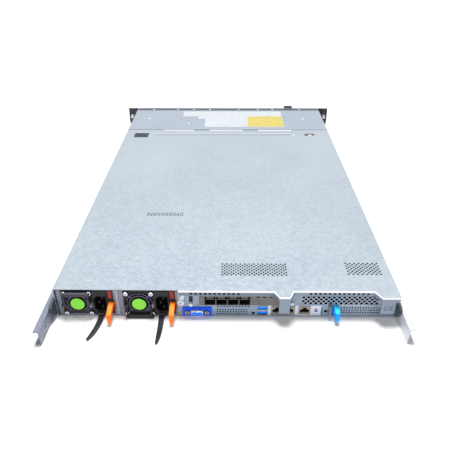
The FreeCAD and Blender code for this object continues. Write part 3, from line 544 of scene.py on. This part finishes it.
# Sheet finishes of the CAD nodes: name, base, shade, settings, nodes
sheetFinishes = [
    ("coverSheet", (0.44, 0.50, 0.56), (0.37, 0.43, 0.49), {"paint": paintCover, "clouds": 7.0}, ["top_cover"]),
    ("deckSheet", (0.40, 0.45, 0.53), (0.35, 0.40, 0.48), {"paint": paintDeck}, ["front_deck"]),
    ("panelSheet", (0.33, 0.40, 0.50), (0.26, 0.33, 0.42), {"paint": paintPanel}, ["rear_io_panel"]),
    ("combSheet", (0.36, 0.40, 0.50), (0.28, 0.33, 0.42), {"patches": combHoleShade}, ["slot_cover"]),
    ("traySheet", (0.40, 0.45, 0.53), (0.32, 0.38, 0.46), {}, ["chassis_tray", "psu_bay_frame"]),
    # The rails are one steel in two copies: the left one darker, painted shade, the right one paler, painted light
    ("railShadedCopy", (0.26, 0.29, 0.37), (0.19, 0.22, 0.29), {"metallic": 0.3, "scratches": 1.0}, ["rail_left"]),
    ("railLitCopy", (0.74, 0.75, 0.81), (0.64, 0.65, 0.72), {"metallic": 0.2, "scratches": 0.9}, ["rail_right"]),
    ("cagePaint", (0.075, 0.08, 0.125), (0.06, 0.06, 0.10), {"metallic": 0.2, "paint": paintCage}, ["drive_cage"]),
    ("leverPaint", (0.13, 0.13, 0.21), (0.10, 0.10, 0.16), {"metallic": 0.2}, numbered("carrier_lever_%d", 4)),
    ("tinPlate", (0.19, 0.18, 0.17), (0.12, 0.115, 0.11), {"metallic": 0.6, "clouds": 60}, ["network_card_bracket"]),
    ("usbTin", (0.40, 0.42, 0.50), (0.30, 0.32, 0.40), {"metallic": 0.6, "patches": usbMouthShade}, ["usb_ports"]),
    ("lanTin", (0.36, 0.33, 0.29), (0.28, 0.25, 0.22), {"metallic": 0.5, "patches": lanMouthShade}, ["lan_ports"]),
    ("cardTin", (0.12, 0.12, 0.13), (0.07, 0.07, 0.08), {"metallic": 0.5, "patches": cardPatches}, ["network_card"]),
    ("fittingSteel", (0.82, 0.90, 1.0), (0.70, 0.78, 0.92),
     {"roughness": 0.35, "metallic": 0.1, "patches": fittingPatches}, ["panel_fittings"]),
    ("screwSteel", (0.80, 0.82, 0.86), (0.66, 0.68, 0.72), {"roughness": 0.25, "metallic": 0.8},
     ["ear_screw_left", "ear_screw_right", "cover_lock_screw"]),
    ("sinkAluminium", (0.75, 0.76, 0.78), (0.66, 0.67, 0.70), {"metallic": 0.8}, ["heatsinks"]),
    ("guardWire", (0.13, 0.12, 0.19), (0.08, 0.07, 0.12), {"roughness": 0.3, "metallic": 0.7},
     numbered("psu_%d_fan_guard", 2))]
for name, base, shade, settings, names in sheetFinishes:
    dress(sheetMetal(name, base, shade, **settings), names)

# Moulded finishes of the CAD nodes: name, base, roughness, dust, settings, nodes
mouldedFinishes = [
    ("blackCase", (0.007, 0.008, 0.011), 0.5, 0.02, {"patches": casePatches, "shine": 0.25},
     numbered("psu_%d_case", 2)),
    ("blackEar", (0.012, 0.013, 0.018), 0.4, 0.08, {}, ["ear_left", "ear_right", *numbered("drive_carrier_%d", 4)]),
    ("blackPlastic", (0.007, 0.007, 0.009), 0.5, 0.03, {"shine": 0.35},
     [*(name for part in ("inlet", "rotor", "handle", "strap") for name in numbered("psu_%d_" + part, 2)),
      *numbered("fan_rotor_%d", 5), "cover_release", "fan_wall", "info_tag", "power_button"]),
    ("stopPlastic", (0.05, 0.07, 0.08), 0.5, 0.2, {}, ["rail_stops"]),
    ("orangePlastic", (1.0, 0.24, 0.0), 0.35, 0.05, {"coat": 0.3}, numbered("psu_%d_latch", 2)),
    ("bluePlastic", (0.0, 0.38, 1.0), 0.35, 0.04, {"coat": 0.3}, ["blue_latch"]),
    ("vgaBlue", (0.0, 0.03, 0.75), 0.4, 0.03, {}, ["vga_connector"]),
    ("buttonBlue", (0.06, 0.22, 0.70), 0.3, 0.0, {"paint": paintButton}, ["uid_button"]),
    ("boardGreen", (0.01, 0.09, 0.04), 0.45, 0.1, {"grain": 500},
     ["motherboard", "power_board", "riser_board", "drive_backplane", "memory_modules"])]
for name, base, roughness, dust, settings, names in mouldedFinishes:
    dress(moulded(name, base, roughness, dust, **settings), names)
print("CAD nodes dressed")


# New pieces: places are in mm and are written in metres. A rectangle's four corners, in turn
def rectangle(a0, a1, b0, b1):
    return np.array([(a0, b0), (a1, b0), (a1, b1), (a0, b1)], float)


# Rounds an outline: at each corner p, points (1-t)^2 a + 2t(1-t) p + t^2 b run from a to b, which lie
# one radius back along the two sides
def rounded(outline, radius, steps=5):
    outline = np.asarray(outline, float)
    before, after = np.roll(outline, 1, 0) - outline, np.roll(outline, -1, 0) - outline
    lengths = [np.linalg.norm(side, axis=1, keepdims=True) for side in (before, after)]
    reach = [np.minimum(radius, 0.45 * size) for size in lengths]
    a, b = outline + before / lengths[0] * reach[0], outline + after / lengths[1] * reach[1]
    t = np.linspace(0, 1, steps)[None, :, None]
    arcs = (1 - t) ** 2 * a[:, None] + 2 * t * (1 - t) * outline[:, None] + t ** 2 * b[:, None]
    return arcs.reshape(-1, 2)


# Moves an outline inwards along the mean of its two side normals, by the sign of its area
def inset(outline, amount):
    ahead = np.roll(outline, -1, 0) - outline
    normal = np.stack([-ahead[:, 1], ahead[:, 0]], 1) / np.linalg.norm(ahead, axis=1, keepdims=True)
    mean = normal + np.roll(normal, 1, 0)
    mean /= np.maximum(np.linalg.norm(mean, axis=1, keepdims=True), 1e-6)
    turn = outline[:, 0] * np.roll(outline[:, 1], -1) - np.roll(outline[:, 0], -1) * outline[:, 1]
    return outline + mean * amount * (1 if turn.sum() > 0 else -1)


# Rows of an outline at places along an axis, each drawn in by its own amount
def layered(outline, axis, places, draws):
    rows = np.stack([inset(outline, draw) for draw in draws])
    along = np.broadcast_to(np.asarray(places, float)[:, None], rows.shape[:2])
    order = {"x": (along, rows[..., 0], rows[..., 1]), "y": (rows[..., 0], along, rows[..., 1]),
             "z": (rows[..., 0], rows[..., 1], along)}[axis]
    return np.stack(order, -1)


# A slab from low to high: near both ends the outline is drawn in by a quarter round,
# place = end -+ edge (1 - cos a), draw = edge (1 - sin a)
def slab(outline, axis, low, high, edge):
    turn = np.linspace(0, np.pi / 2, 4)
    back = turn[::-1]
    places = np.concatenate([low + edge * (1 - np.cos(turn)), high - edge * (1 - np.cos(back))])
    return layered(outline, axis, places, np.concatenate([edge * (1 - np.sin(turn)), edge * (1 - np.sin(back))]))


# A slab of a rounded rectangle over a span; rounds are the radius of its corners and of its edges
def roundedSlab(box, axis, span, rounds):
    return slab(rounded(rectangle(*box), rounds[0]), axis, *span, rounds[1])


# A box about a place: x -+ halfX, z -+ halfZ
def boxAt(x, z, halves):
    return x - halves[0], x + halves[0], z - halves[1], z + halves[1]


# A turned shape about a line along Y: x + r cos a, y of the profile, z + r sin a
def turned(profile, x, z, around):
    profile = np.asarray(profile, float)
    angle = np.linspace(0, 2 * np.pi, around, endpoint=False)
    radius = profile[:, 0, None]
    along = np.broadcast_to(profile[:, 1, None], (len(profile), around))
    return np.stack([x + radius * np.cos(angle), along, z + radius * np.sin(angle)], -1)


# A section carried along a path: path point + section x side + section y rise, both across the tangent
def swept(path, section):
    path, section = np.asarray(path, float), np.asarray(section, float)
    tangent = np.gradient(path, axis=0)
    tangent /= np.linalg.norm(tangent, axis=1, keepdims=True)
    side = np.cross(tangent, (0.0, 0.0, 1.0))
    side /= np.linalg.norm(side, axis=1, keepdims=True)
    rise = np.cross(side, tangent)
    return path[:, None] + section[None, :, 0, None] * side[:, None] + section[None, :, 1, None] * rise[:, None]


# Points of a circle: r cos a, r sin a
def circle(radius, count=12):
    angle = np.linspace(0, 2 * np.pi, count, endpoint=False)
    return np.stack([radius * np.cos(angle), radius * np.sin(angle)], 1)


# Joins rows of points into closed skins: four-sided faces between rows and one cap at each end. A skin whose
# signed volume, the sum of (a x b).c + (a x c).d over its faces, is negative has its faces turned
def buildPiece(name, body, material, skins, replaced=(), smooth=35):
    points, faces, count = [], [], 0
    for rows in skins:
        n, m = rows.shape[:2]
        i, j = np.meshgrid(np.arange(n - 1), np.arange(m), indexing="ij")
        following = (j + 1) % m
        quads = np.stack([i * m + j, i * m + following, (i + 1) * m + following, (i + 1) * m + j], -1)
        quads = quads.reshape(-1, 4)
        flat = rows.reshape(-1, 3)
        a, b, c, d = (flat[quads[:, k]] - flat.mean(0) for k in range(4))
        volume = (np.cross(a, b) * c).sum() + (np.cross(a, c) * d).sum()
        closing = [np.arange(m)[::-1], np.arange((n - 1) * m, n * m)]
        way = 1 if volume > 0 else -1
        faces += (quads[:, ::way] + count).tolist() + [(cap[::way] + count).tolist() for cap in closing]
        points.append(flat * mm)
        count += len(flat)
    mesh = bpy.data.meshes.new(name)
    mesh.from_pydata(np.concatenate(points).tolist(), [], faces)
    mesh.materials.append(material)
    piece = addObject(name, mesh)
    mesh.shade_smooth()
    mesh.set_sharp_from_angle(angle=np.radians(smooth))
    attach(piece, body)
    if replaced:
        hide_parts(*replaced)


# Painted light and shade by the face's direction: for each part of the normal, its ramp's amount of a tone
def paintLightByFacing(*steps):
    def paint(tree, axis, color):
        facing = coordinateParts(tree, "Normal")
        for way, ramp, tone in steps:
            color = mixColor(tree, rangeMap(tree, facing[way], *ramp), color, tone)
        return color
    return paint


# A latch: its side outline as a slab across x, narrowed about a middle line: x = middle + (x - middle) taper(z)
def taperedLatch(shape, offset=0.0):
    low, high = (offset + end for end in shape["across"])
    rows = slab(rounded(shape["side"], shape["round"]), "x", low, high, shape["edge"])
    middle = low + shape["middle"] * (high - low)
    rows[..., 0] = middle + (rows[..., 0] - middle) * np.interp(rows[..., 2], shape["taperZ"], shape["taper"])
    return rows


# Supply latch: redder on its outer side face, painted shade, and lighter on top, painted highlight; it glows a
# little, painted light
latchShape = {"side": [(14, 22.4), (-1, 22.4), (-19.2, 17.2), (-20.2, 3.6), (-16.6, 3.6), (-15.4, 10.5),
                       (-2, 13.0), (14, 13.0)],
              "round": 1.2, "across": (39.0, 45.6), "edge": 0.8, "middle": 0.42, "taperZ": (3.4, 17.2),
              "taper": (0.52, 1.0)}
latchLightAndShade = paintLightByFacing(("x", (0.3, 0.8), (0.8, 0.03, 0.005)), ("z", (0.5, 0.95, 0, 0.75), (1.0, 0.33, 0.03)))
orangeMoulding = moulded("orangeMoulding", (1.0, 0.17, 0.003), 0.5, 0.0, paint=latchLightAndShade, glow=0.30, shine=0.25)


# The orange latch of one supply
def makeLatch(name, fan):
    buildPiece(name + ".latch", name + "_latch", orangeMoulding, [taperedLatch(latchShape, fan)],
               [name + "_latch"])


# Handle: a bar at the end of two legs, and a groove along the bar. The upper one is a grey copy, paler on top:
# painted reflection and highlight
handleShape = {"depth": (-6.2, -2.6), "hinge": 20.5, "reach": 17.6, "barHalves": (18.0, 2.5),
               "barRounds": (2.2, 0.9), "legs": (14.7, 16.4), "legEnds": (1.8, 1.2), "legRounds": (0.8, 0.5),
               "grooveHalves": (13, 0.5), "grooveDepth": (-6.35, -5.7), "grooveRounds": (0.4, 0.1)}
gripTopHighlight = paintLightByFacing(("z", (0.1, 0.6, 0, 0.8), (0.085, 0.085, 0.115)))
gripPaintedSheen = moulded("gripPaintedSheen", (0.05, 0.05, 0.07), 0.5, 0.03, paint=gripTopHighlight, shine=0.3)
gripBlack = moulded("gripBlack", (0.010, 0.010, 0.014), 0.5, 0.03, shine=0.3)


# The bar stands at hinge + way x reach; each leg runs from a little behind the hinge to a little past the bar
def makeHandle(name, fan, way):
    v = handleShape
    end = v["hinge"] + way * v["reach"]
    skins = [roundedSlab(boxAt(fan, end, v["barHalves"]), "y", v["depth"], v["barRounds"])]
    behind, past = v["legEnds"]
    legZ = sorted((v["hinge"] - way * behind, end + way * past))
    for side in (-1, 1):
        legX = sorted(fan + side * leg for leg in v["legs"])
        skins.append(roundedSlab((*legX, *legZ), "y", v["depth"], v["legRounds"]))
    skins.append(roundedSlab(boxAt(fan, end, v["grooveHalves"]), "y", v["grooveDepth"], v["grooveRounds"]))
    buildPiece(name + ".handle", name + "_handle", gripPaintedSheen if way > 0 else gripBlack, skins, [name + "_handle"])


# Hub label: a shallow green dome over the guard's middle, profile of radius and y. It glows a little, painted light
labelShape = {"dome": [(8.9, -1.9), (9.0, -2.1), (8.9, -2.28), (8.4, -2.4), (5.4, -2.5), (0.3, -2.54)],
              "around": 48}
labelGreen = moulded("hubLabel", (0.20, 0.60, 0.045), 0.5, 0.02, grain=900, glow=0.38, shine=0.3)


# The dome turned about the fan's line
def makeLabel(name, fan):
    dome = turned(labelShape["dome"], fan, fanHeight, labelShape["around"])
    buildPiece(name + ".hubLabel", name, labelGreen, [dome])


# Four domed screws round the fan, each with a crossed recess
screwShape = {"step": 16.0, "around": 24, "slotHalves": ((1.7, 0.35), (0.35, 1.5)),
              "slotDepth": (-2.5, -2.0), "slotRounds": (0.2, 0.05),
              "profile": [(2.9, -1.2), (2.9, -1.8), (2.697, -2.1), (2.03, -2.34), (0.3, -2.45)]}
screwBright = sheetMetal("screwBright", (0.86, 0.90, 0.96), (0.7, 0.75, 0.82), roughness=0.2, metallic=0.6)
nylonBlack = moulded("nylonBlack", (0.010, 0.012, 0.022), 0.42, 0.04, shine=0.4)


# Screws at the corners of a square of side 2 x step
def makeScrews(name, fan):
    v = screwShape
    screws, slots = [], []
    for sx in (-1, 1):
        for sz in (-1, 1):
            x, z = fan + sx * v["step"], fanHeight + sz * v["step"]
            screws.append(turned(v["profile"], x, z, v["around"]))
            slots += [roundedSlab(boxAt(x, z, halves), "y", v["slotDepth"], v["slotRounds"])
                      for halves in v["slotHalves"]]
    buildPiece(name + ".screws", name, screwBright, screws)
    buildPiece(name + ".screwSlots", name, nylonBlack, slots)


# Retention strap: places of its middle line, its half width there, its ribbed section (a share of the half width,
# and the height in mm), and the block it is held by
strapShape = {"lines": {"psu_1": [(28.2, -2.5), (28.0, -12), (26.6, -24), (23.6, -35), (19.6, -45.5)],
                        "psu_2": [(27.4, -2.5), (27.8, -14), (27.9, -27), (27.4, -39), (26.2, -51)]},
              "half": [3.6, 3.5, 3.2, 2.8, 1.5], "rows": 30, "height": 1.2,
              "section": [(-1, 0), (-1, 1.2), (-0.82, 1.75), (-0.5, 1.8), (-0.28, 1.0), (0.28, 1.0), (0.5, 1.8),
                          (0.82, 1.75), (1, 1.2), (1, 0)],
              "anchor": (24.4, 32.6, 1.2, 7.4), "anchorDepth": (-4.4, -1.2), "anchorRounds": (1.2, 0.5)}


# The middle line is a cubic in the path's length, fitted to its places; only the width follows the taper:
# (x, y) = path + half(t) ((x, y) - path)
def makeStrap(name, fan):
    v = strapShape
    line, t = np.array(v["lines"][name], float), np.linspace(0, 1, v["rows"])
    known = np.linspace(0, 1, len(line))
    bend = [np.polyval(np.polyfit(known, line[:, k], 3), t) for k in (0, 1)]
    path = np.stack([fan + bend[0], bend[1], np.full(v["rows"], v["height"])], 1)
    strap = swept(path, v["section"])
    half = np.interp(t, known, v["half"])[:, None, None]
    strap[..., :2] = path[:, None, :2] + (strap[..., :2] - path[:, None, :2]) * half
    x0, x1, z0, z1 = v["anchor"]
    anchor = roundedSlab((fan + x0, fan + x1, z0, z1), "y", v["anchorDepth"], v["anchorRounds"])
    buildPiece(name + ".strap", name, nylonBlack, [strap, anchor], [name + "_strap"], smooth=50)


# Fan lead: start, reach, bow and drop of its path, and its radius. It glows a little, painted light
leadShape = {"start": (11.6, 0.9, 15.8), "reach": 4.6, "bow": 1.2, "drop": 2.0, "power": 1.5, "radius": 0.7,
             "rows": 14}
leadRed = moulded("leadRed", (0.8, 0.01, 0.01), 0.4, 0.02, glow=0.2)


# Path: x = start + reach t, y = start + bow sin(pi t), z = start - drop t^1.5
def makeLead(name, fan):
    v = leadShape
    x, y, z = v["start"]
    t = np.linspace(0, 1, v["rows"])
    path = np.stack([fan + x + v["reach"] * t, y + v["bow"] * np.sin(np.pi * t),
                     z - v["drop"] * t ** v["power"]], 1)
    buildPiece(name + ".fanLead", name, leadRed, [swept(path, circle(v["radius"]))])


for name, (fan, way) in fans.items():
    makeLatch(name, fan)
    makeHandle(name, fan, way)
    makeLabel(name, fan)
    makeScrews(name, fan)
    makeStrap(name, fan)
    makeLead(name, fan)
print("supplies made")

# Blue latch beside the slot: deeper blue on its left face, painted shade, and cyan on top, painted highlight; it
# glows a little, painted light
blueShape = {"side": [(13, 18.8), (-15.4, 18.8), (-16.2, 6.4), (-12.6, 6.4), (-11.6, 12.0), (-2, 14.0), (-2, 3.8),
                      (13, 3.8)],
             "round": 1.0, "across": (138.2, 144.6), "edge": 0.7, "middle": 0.5, "taperZ": (6, 18),
             "taper": (0.84, 1.0)}
blueLightAndShade = paintLightByFacing(("x", (-0.3, -0.8), (0.0, 0.12, 0.8)), ("z", (0.5, 0.95, 0, 0.9), (0.03, 0.75, 1.0)))
blueMoulding = moulded("blueMoulding", (0.0, 0.30, 0.85), 0.45, 0.0, paint=blueLightAndShade, glow=0.3, shine=0.3)
buildPiece("blueLatch", "blue_latch", blueMoulding, [taperedLatch(blueShape)], ["blue_latch"])

# Video port: plate, hollow shell with a block behind, insert and two nut posts. The shell's rows are draw and y,
# out along its outside and back along its inside
video = {"at": (-35.6, 8.6), "middleZ": (8.5, 8.8), "topHalf": 8.4, "lowHalf": 7.0, "high": 3.9, "round": 1.8,
         "shell": ((0.0, -1.3), (0.0, -5.9), (0.25, -6.3), (0.6, -6.3), (0.8, -5.9), (0.8, -2.6)),
         "plateHalves": (18.6, 7.1), "plateDepth": (-1.4, -0.2), "plateRounds": (1.0, 0.3),
         "blockHalves": (15.4, 4.8), "blockDepth": (-0.2, 12), "edge": 0.3, "insertDraw": 1.5,
         "insertDepth": (-5.2, -2.5), "postStep": 12.5, "postAround": 24,
         "post": [(2.7, -1.3), (2.7, -4.2), (2.1, -4.4), (2.1, -5.8), (1.8, -6.1), (1.4, -6.1), (1.3, -3.0),
                  (0.2, -3.0)]}
# The blue plate and insert glow a little, painted light
videoBlue = moulded("videoBlue", (0.0, 0.07, 0.72), 0.5, 0.0, glow=0.35, shine=0.2)
insertBlue = moulded("insertBlue", (0.0, 0.17, 0.90), 0.5, 0.0, glow=0.5, shine=0.2)
shellTin = sheetMetal("shellTin", (0.66, 0.66, 0.76), (0.52, 0.52, 0.62), roughness=0.3, metallic=0.4)
brass = sheetMetal("brassPost", (0.55, 0.42, 0.16), (0.40, 0.30, 0.10), roughness=0.3, metallic=0.85)
vx, vz = video["at"]
ends = ((-video["topHalf"], video["high"]), (-video["lowHalf"], -video["high"]),
        (video["lowHalf"], -video["high"]), (video["topHalf"], video["high"]))
dee = rounded([(vx + x, vz + z) for x, z in ends], video["round"])
plate = roundedSlab(boxAt(vx, video["middleZ"][0], video["plateHalves"]), "y", video["plateDepth"],
                    video["plateRounds"])
buildPiece("videoPlate", "chassis", videoBlue, [plate], ["vga_connector"])
draws, depths = zip(*video["shell"])
block = slab(rectangle(*boxAt(vx, video["middleZ"][1], video["blockHalves"])), "y", *video["blockDepth"],
             video["edge"])
buildPiece("videoShell", "chassis", shellTin, [layered(dee, "y", depths, draws), block],
           smooth=50)
insert = slab(inset(dee, video["insertDraw"]), "y", *video["insertDepth"], video["edge"])
buildPiece("videoInsert", "chassis", insertBlue, [insert])
posts = [turned(video["post"], vx + side * video["postStep"], vz, video["postAround"]) for side in (-1, 1)]
buildPiece("videoPosts", "chassis", brass, posts)

# Port details: blue tongues, eight contact springs and a pale seat in each socket. The tongues glow a little,
# painted light
portShape = {"tongueRise": 0.1, "tongueHalves": (5.5, 1.6), "tongueDepth": (0.1, 12.8), "tongueRounds": (0.4, 0.3),
             "springSide": [(1.6, 12.2), (10.6, 7.6), (10.9, 8.1), (2.0, 12.6)], "springHalf": 0.17,
             "springStep": 1.02, "springCount": 8, "springEdge": 0.05, "seatZ": 6.475,
             "seatHalves": (5.7, 0.425), "seatDepth": (-0.4, 1.3), "seatRounds": (0.2, 0.1)}
portBlue = moulded("portBlue", (0.0, 0.20, 0.90), 0.5, 0.0, glow=0.45, shine=0.2)
springGold = sheetMetal("springGold", (0.38, 0.19, 0.08), (0.24, 0.11, 0.05), roughness=0.3, metallic=0.7)
seatBeige = moulded("seatBeige", (0.45, 0.40, 0.36), 0.5, 0.1)
v = portShape
tongues = [roundedSlab(boxAt(ports["usbX"], z + v["tongueRise"], v["tongueHalves"]), "y", v["tongueDepth"],
                       v["tongueRounds"]) for z in ports["usbZ"]]
buildPiece("usbTongues", "chassis", portBlue, tongues)
springRow = v["springStep"] * (np.arange(v["springCount"]) - (v["springCount"] - 1) / 2)
springSide = np.array(v["springSide"], float)
springs = [slab(springSide, "x", x - v["springHalf"], x + v["springHalf"], v["springEdge"])
           for middle in ports["lanX"] for x in middle + springRow]
buildPiece("lanSprings", "chassis", springGold, springs)
seats = [roundedSlab(boxAt(x, v["seatZ"], v["seatHalves"]), "y", v["seatDepth"], v["seatRounds"])
         for x in ports["lanX"]]
buildPiece("lanSeats", "chassis", seatBeige, seats)

# Behind the fold's slots a black strip of painted shade in two lengths (start, end, shift in y), under the vents
# dark sheets of painted shade
shadeBackings = {"slotShadeEnd": [(-1.95, 37.2), (-1.95, 41.9), (-0.9, 41.4), (-0.6, 39.5), (-0.9, 37.7)],
            "slotShadeRound": 0.5, "slotShadeEdge": 0.4, "slotShades": ((-45.5, 19.5, 0.0), (104.5, 182.0, 0.75)),
            "ventShades": ((-8, 86, 28, 59), (157, 208, 30, 61)), "ventShadeZ": (40.6, 41.2), "ventShadeRounds": (3, 0.1)}
shadeBlack = moulded("paintedShadeBlack", (0.008, 0.008, 0.010), 0.8, 0.0, grain=500)
slotShadeEnd = rounded(shadeBackings["slotShadeEnd"], shadeBackings["slotShadeRound"])
slotShades = [slab(slotShadeEnd + (shift, 0), "x", start, end, shadeBackings["slotShadeEdge"])
           for start, end, shift in shadeBackings["slotShades"]]
buildPiece("slotShade", "cover", shadeBlack, slotShades)
ventShades = [roundedSlab(box, "z", shadeBackings["ventShadeZ"], shadeBackings["ventShadeRounds"]) for box in shadeBackings["ventShades"]]
buildPiece("ventShade", "cover", shadeBlack, ventShades)

# Release button in its window near the seam: a rounded body, a wider foot and finger ribs across it
release = {"box": (-197.2, -169.4, 501.4, 522.6), "bodyZ": (39.9, 42.2), "bodyRounds": (3.5, 0.5), "footWider": 2,
           "footZ": (39.0, 41.8), "footRounds": (1, 0.2), "ribs": 6, "ribInset": 4, "ribHalf": 0.7,
           "ribZ": (42.0, 42.6), "ribRounds": (0.6, 0.3)}
v = release
x0, x1, y0, y1 = v["box"]
skins = [roundedSlab(v["box"], "z", v["bodyZ"], v["bodyRounds"]),
         roundedSlab((x0 - v["footWider"], x1 + v["footWider"], y0, y1), "z", v["footZ"], v["footRounds"])]
for y in np.linspace(y0 + v["ribInset"], y1 - v["ribInset"], v["ribs"]):
    box = (x0 + v["ribInset"], x1 - v["ribInset"], y - v["ribHalf"], y + v["ribHalf"])
    skins.append(roundedSlab(box, "z", v["ribZ"], v["ribRounds"]))
slate = moulded("buttonSlate", (0.022, 0.030, 0.045), 0.45, 0.05)
buildPiece("releaseButton", "cover_release", slate, skins, ["cover_release"])
print("ports, latches and button made")

# Floor, lamps and world, in metres; the floor's zone is in mm. Away from the zone the floor glows white for the
# camera, and in it the lamps light it, so that a contact shadow shows
studio = {"floorHalf": 6.0, "floorDrop": 0.0002, "floorBase": 0.92, "floorRough": 0.9, "floorNear": 0.11,
          "floorFar": 1.0, "floorZone": {"x": (-330, 330), "y": (-150, 820)}, "zoneSoft": 60, "worldLight": 0.21}
lamps = {"keyLamp": {"place": (-0.02, 0.32, 2.15), "target": (0, 0.33, 0), "size": (0.6, 0.6), "watts": 53.0},
         "fillLamp": {"place": (-0.95, -1.25, 0.42), "target": (0, 0.0, 0.02), "size": (1.1, 0.4), "watts": 4.4}}


# 1 for rays from the camera, off a gloss or through glass, else 0
def seenRays(tree):
    rays = addNode(tree, "ShaderNodeLightPath").outputs
    return mathNode(tree, "MAXIMUM", rays["Is Camera Ray"],
                    mathNode(tree, "MAXIMUM", rays["Is Glossy Ray"], rays["Is Transmission Ray"]))


floorMesh = bpy.data.meshes.new("floor")
h = studio["floorHalf"]
floorMesh.from_pydata([(-h, -h, 0), (h, -h, 0), (h, h, 0), (-h, h, 0)], [], [(0, 1, 2, 3)])
floor = addObject("floor", floorMesh)
floor.location.z = -studio["floorDrop"]
material, tree, shader = newMaterial("paleFloor")
setInputs(shader, {"Base Color": (*[studio["floorBase"]] * 3, 1), "Roughness": studio["floorRough"],
                   "Specular IOR Level": 0.0, "Emission Color": (1, 1, 1, 1)})
zone = rectMask(tree, coordinateParts(tree), studio["floorZone"], studio["zoneSoft"])
glow = rangeMap(tree, zone, 0, 1, studio["floorFar"], studio["floorNear"])
plug(tree, times(tree, seenRays(tree), glow), shader.inputs["Emission Strength"])
floorMesh.materials.append(material)

world = bpy.data.worlds.new("softRoom")
bpy.context.scene.world = world
world.use_nodes = True
tree = world.node_tree
background = tree.nodes["Background"]
background.inputs["Color"].default_value = (1, 1, 1, 1)
plug(tree, rangeMap(tree, seenRays(tree), 0, 1, studio["worldLight"], 1.0), background.inputs["Strength"])


# A flat lamp that looks from its place to its target
def areaLamp(name, place, target, size, watts):
    data = bpy.data.lights.new(name, "AREA")
    data.shape = "RECTANGLE"
    data.size, data.size_y = size
    data.energy = watts
    lamp = addObject(name, data)
    lamp.location = place
    lamp.rotation_euler = (Vector(target) - Vector(place)).to_track_quat("-Z", "Y").to_euler()


for name, values in lamps.items():
    areaLamp(name, **values)
print("studio set")
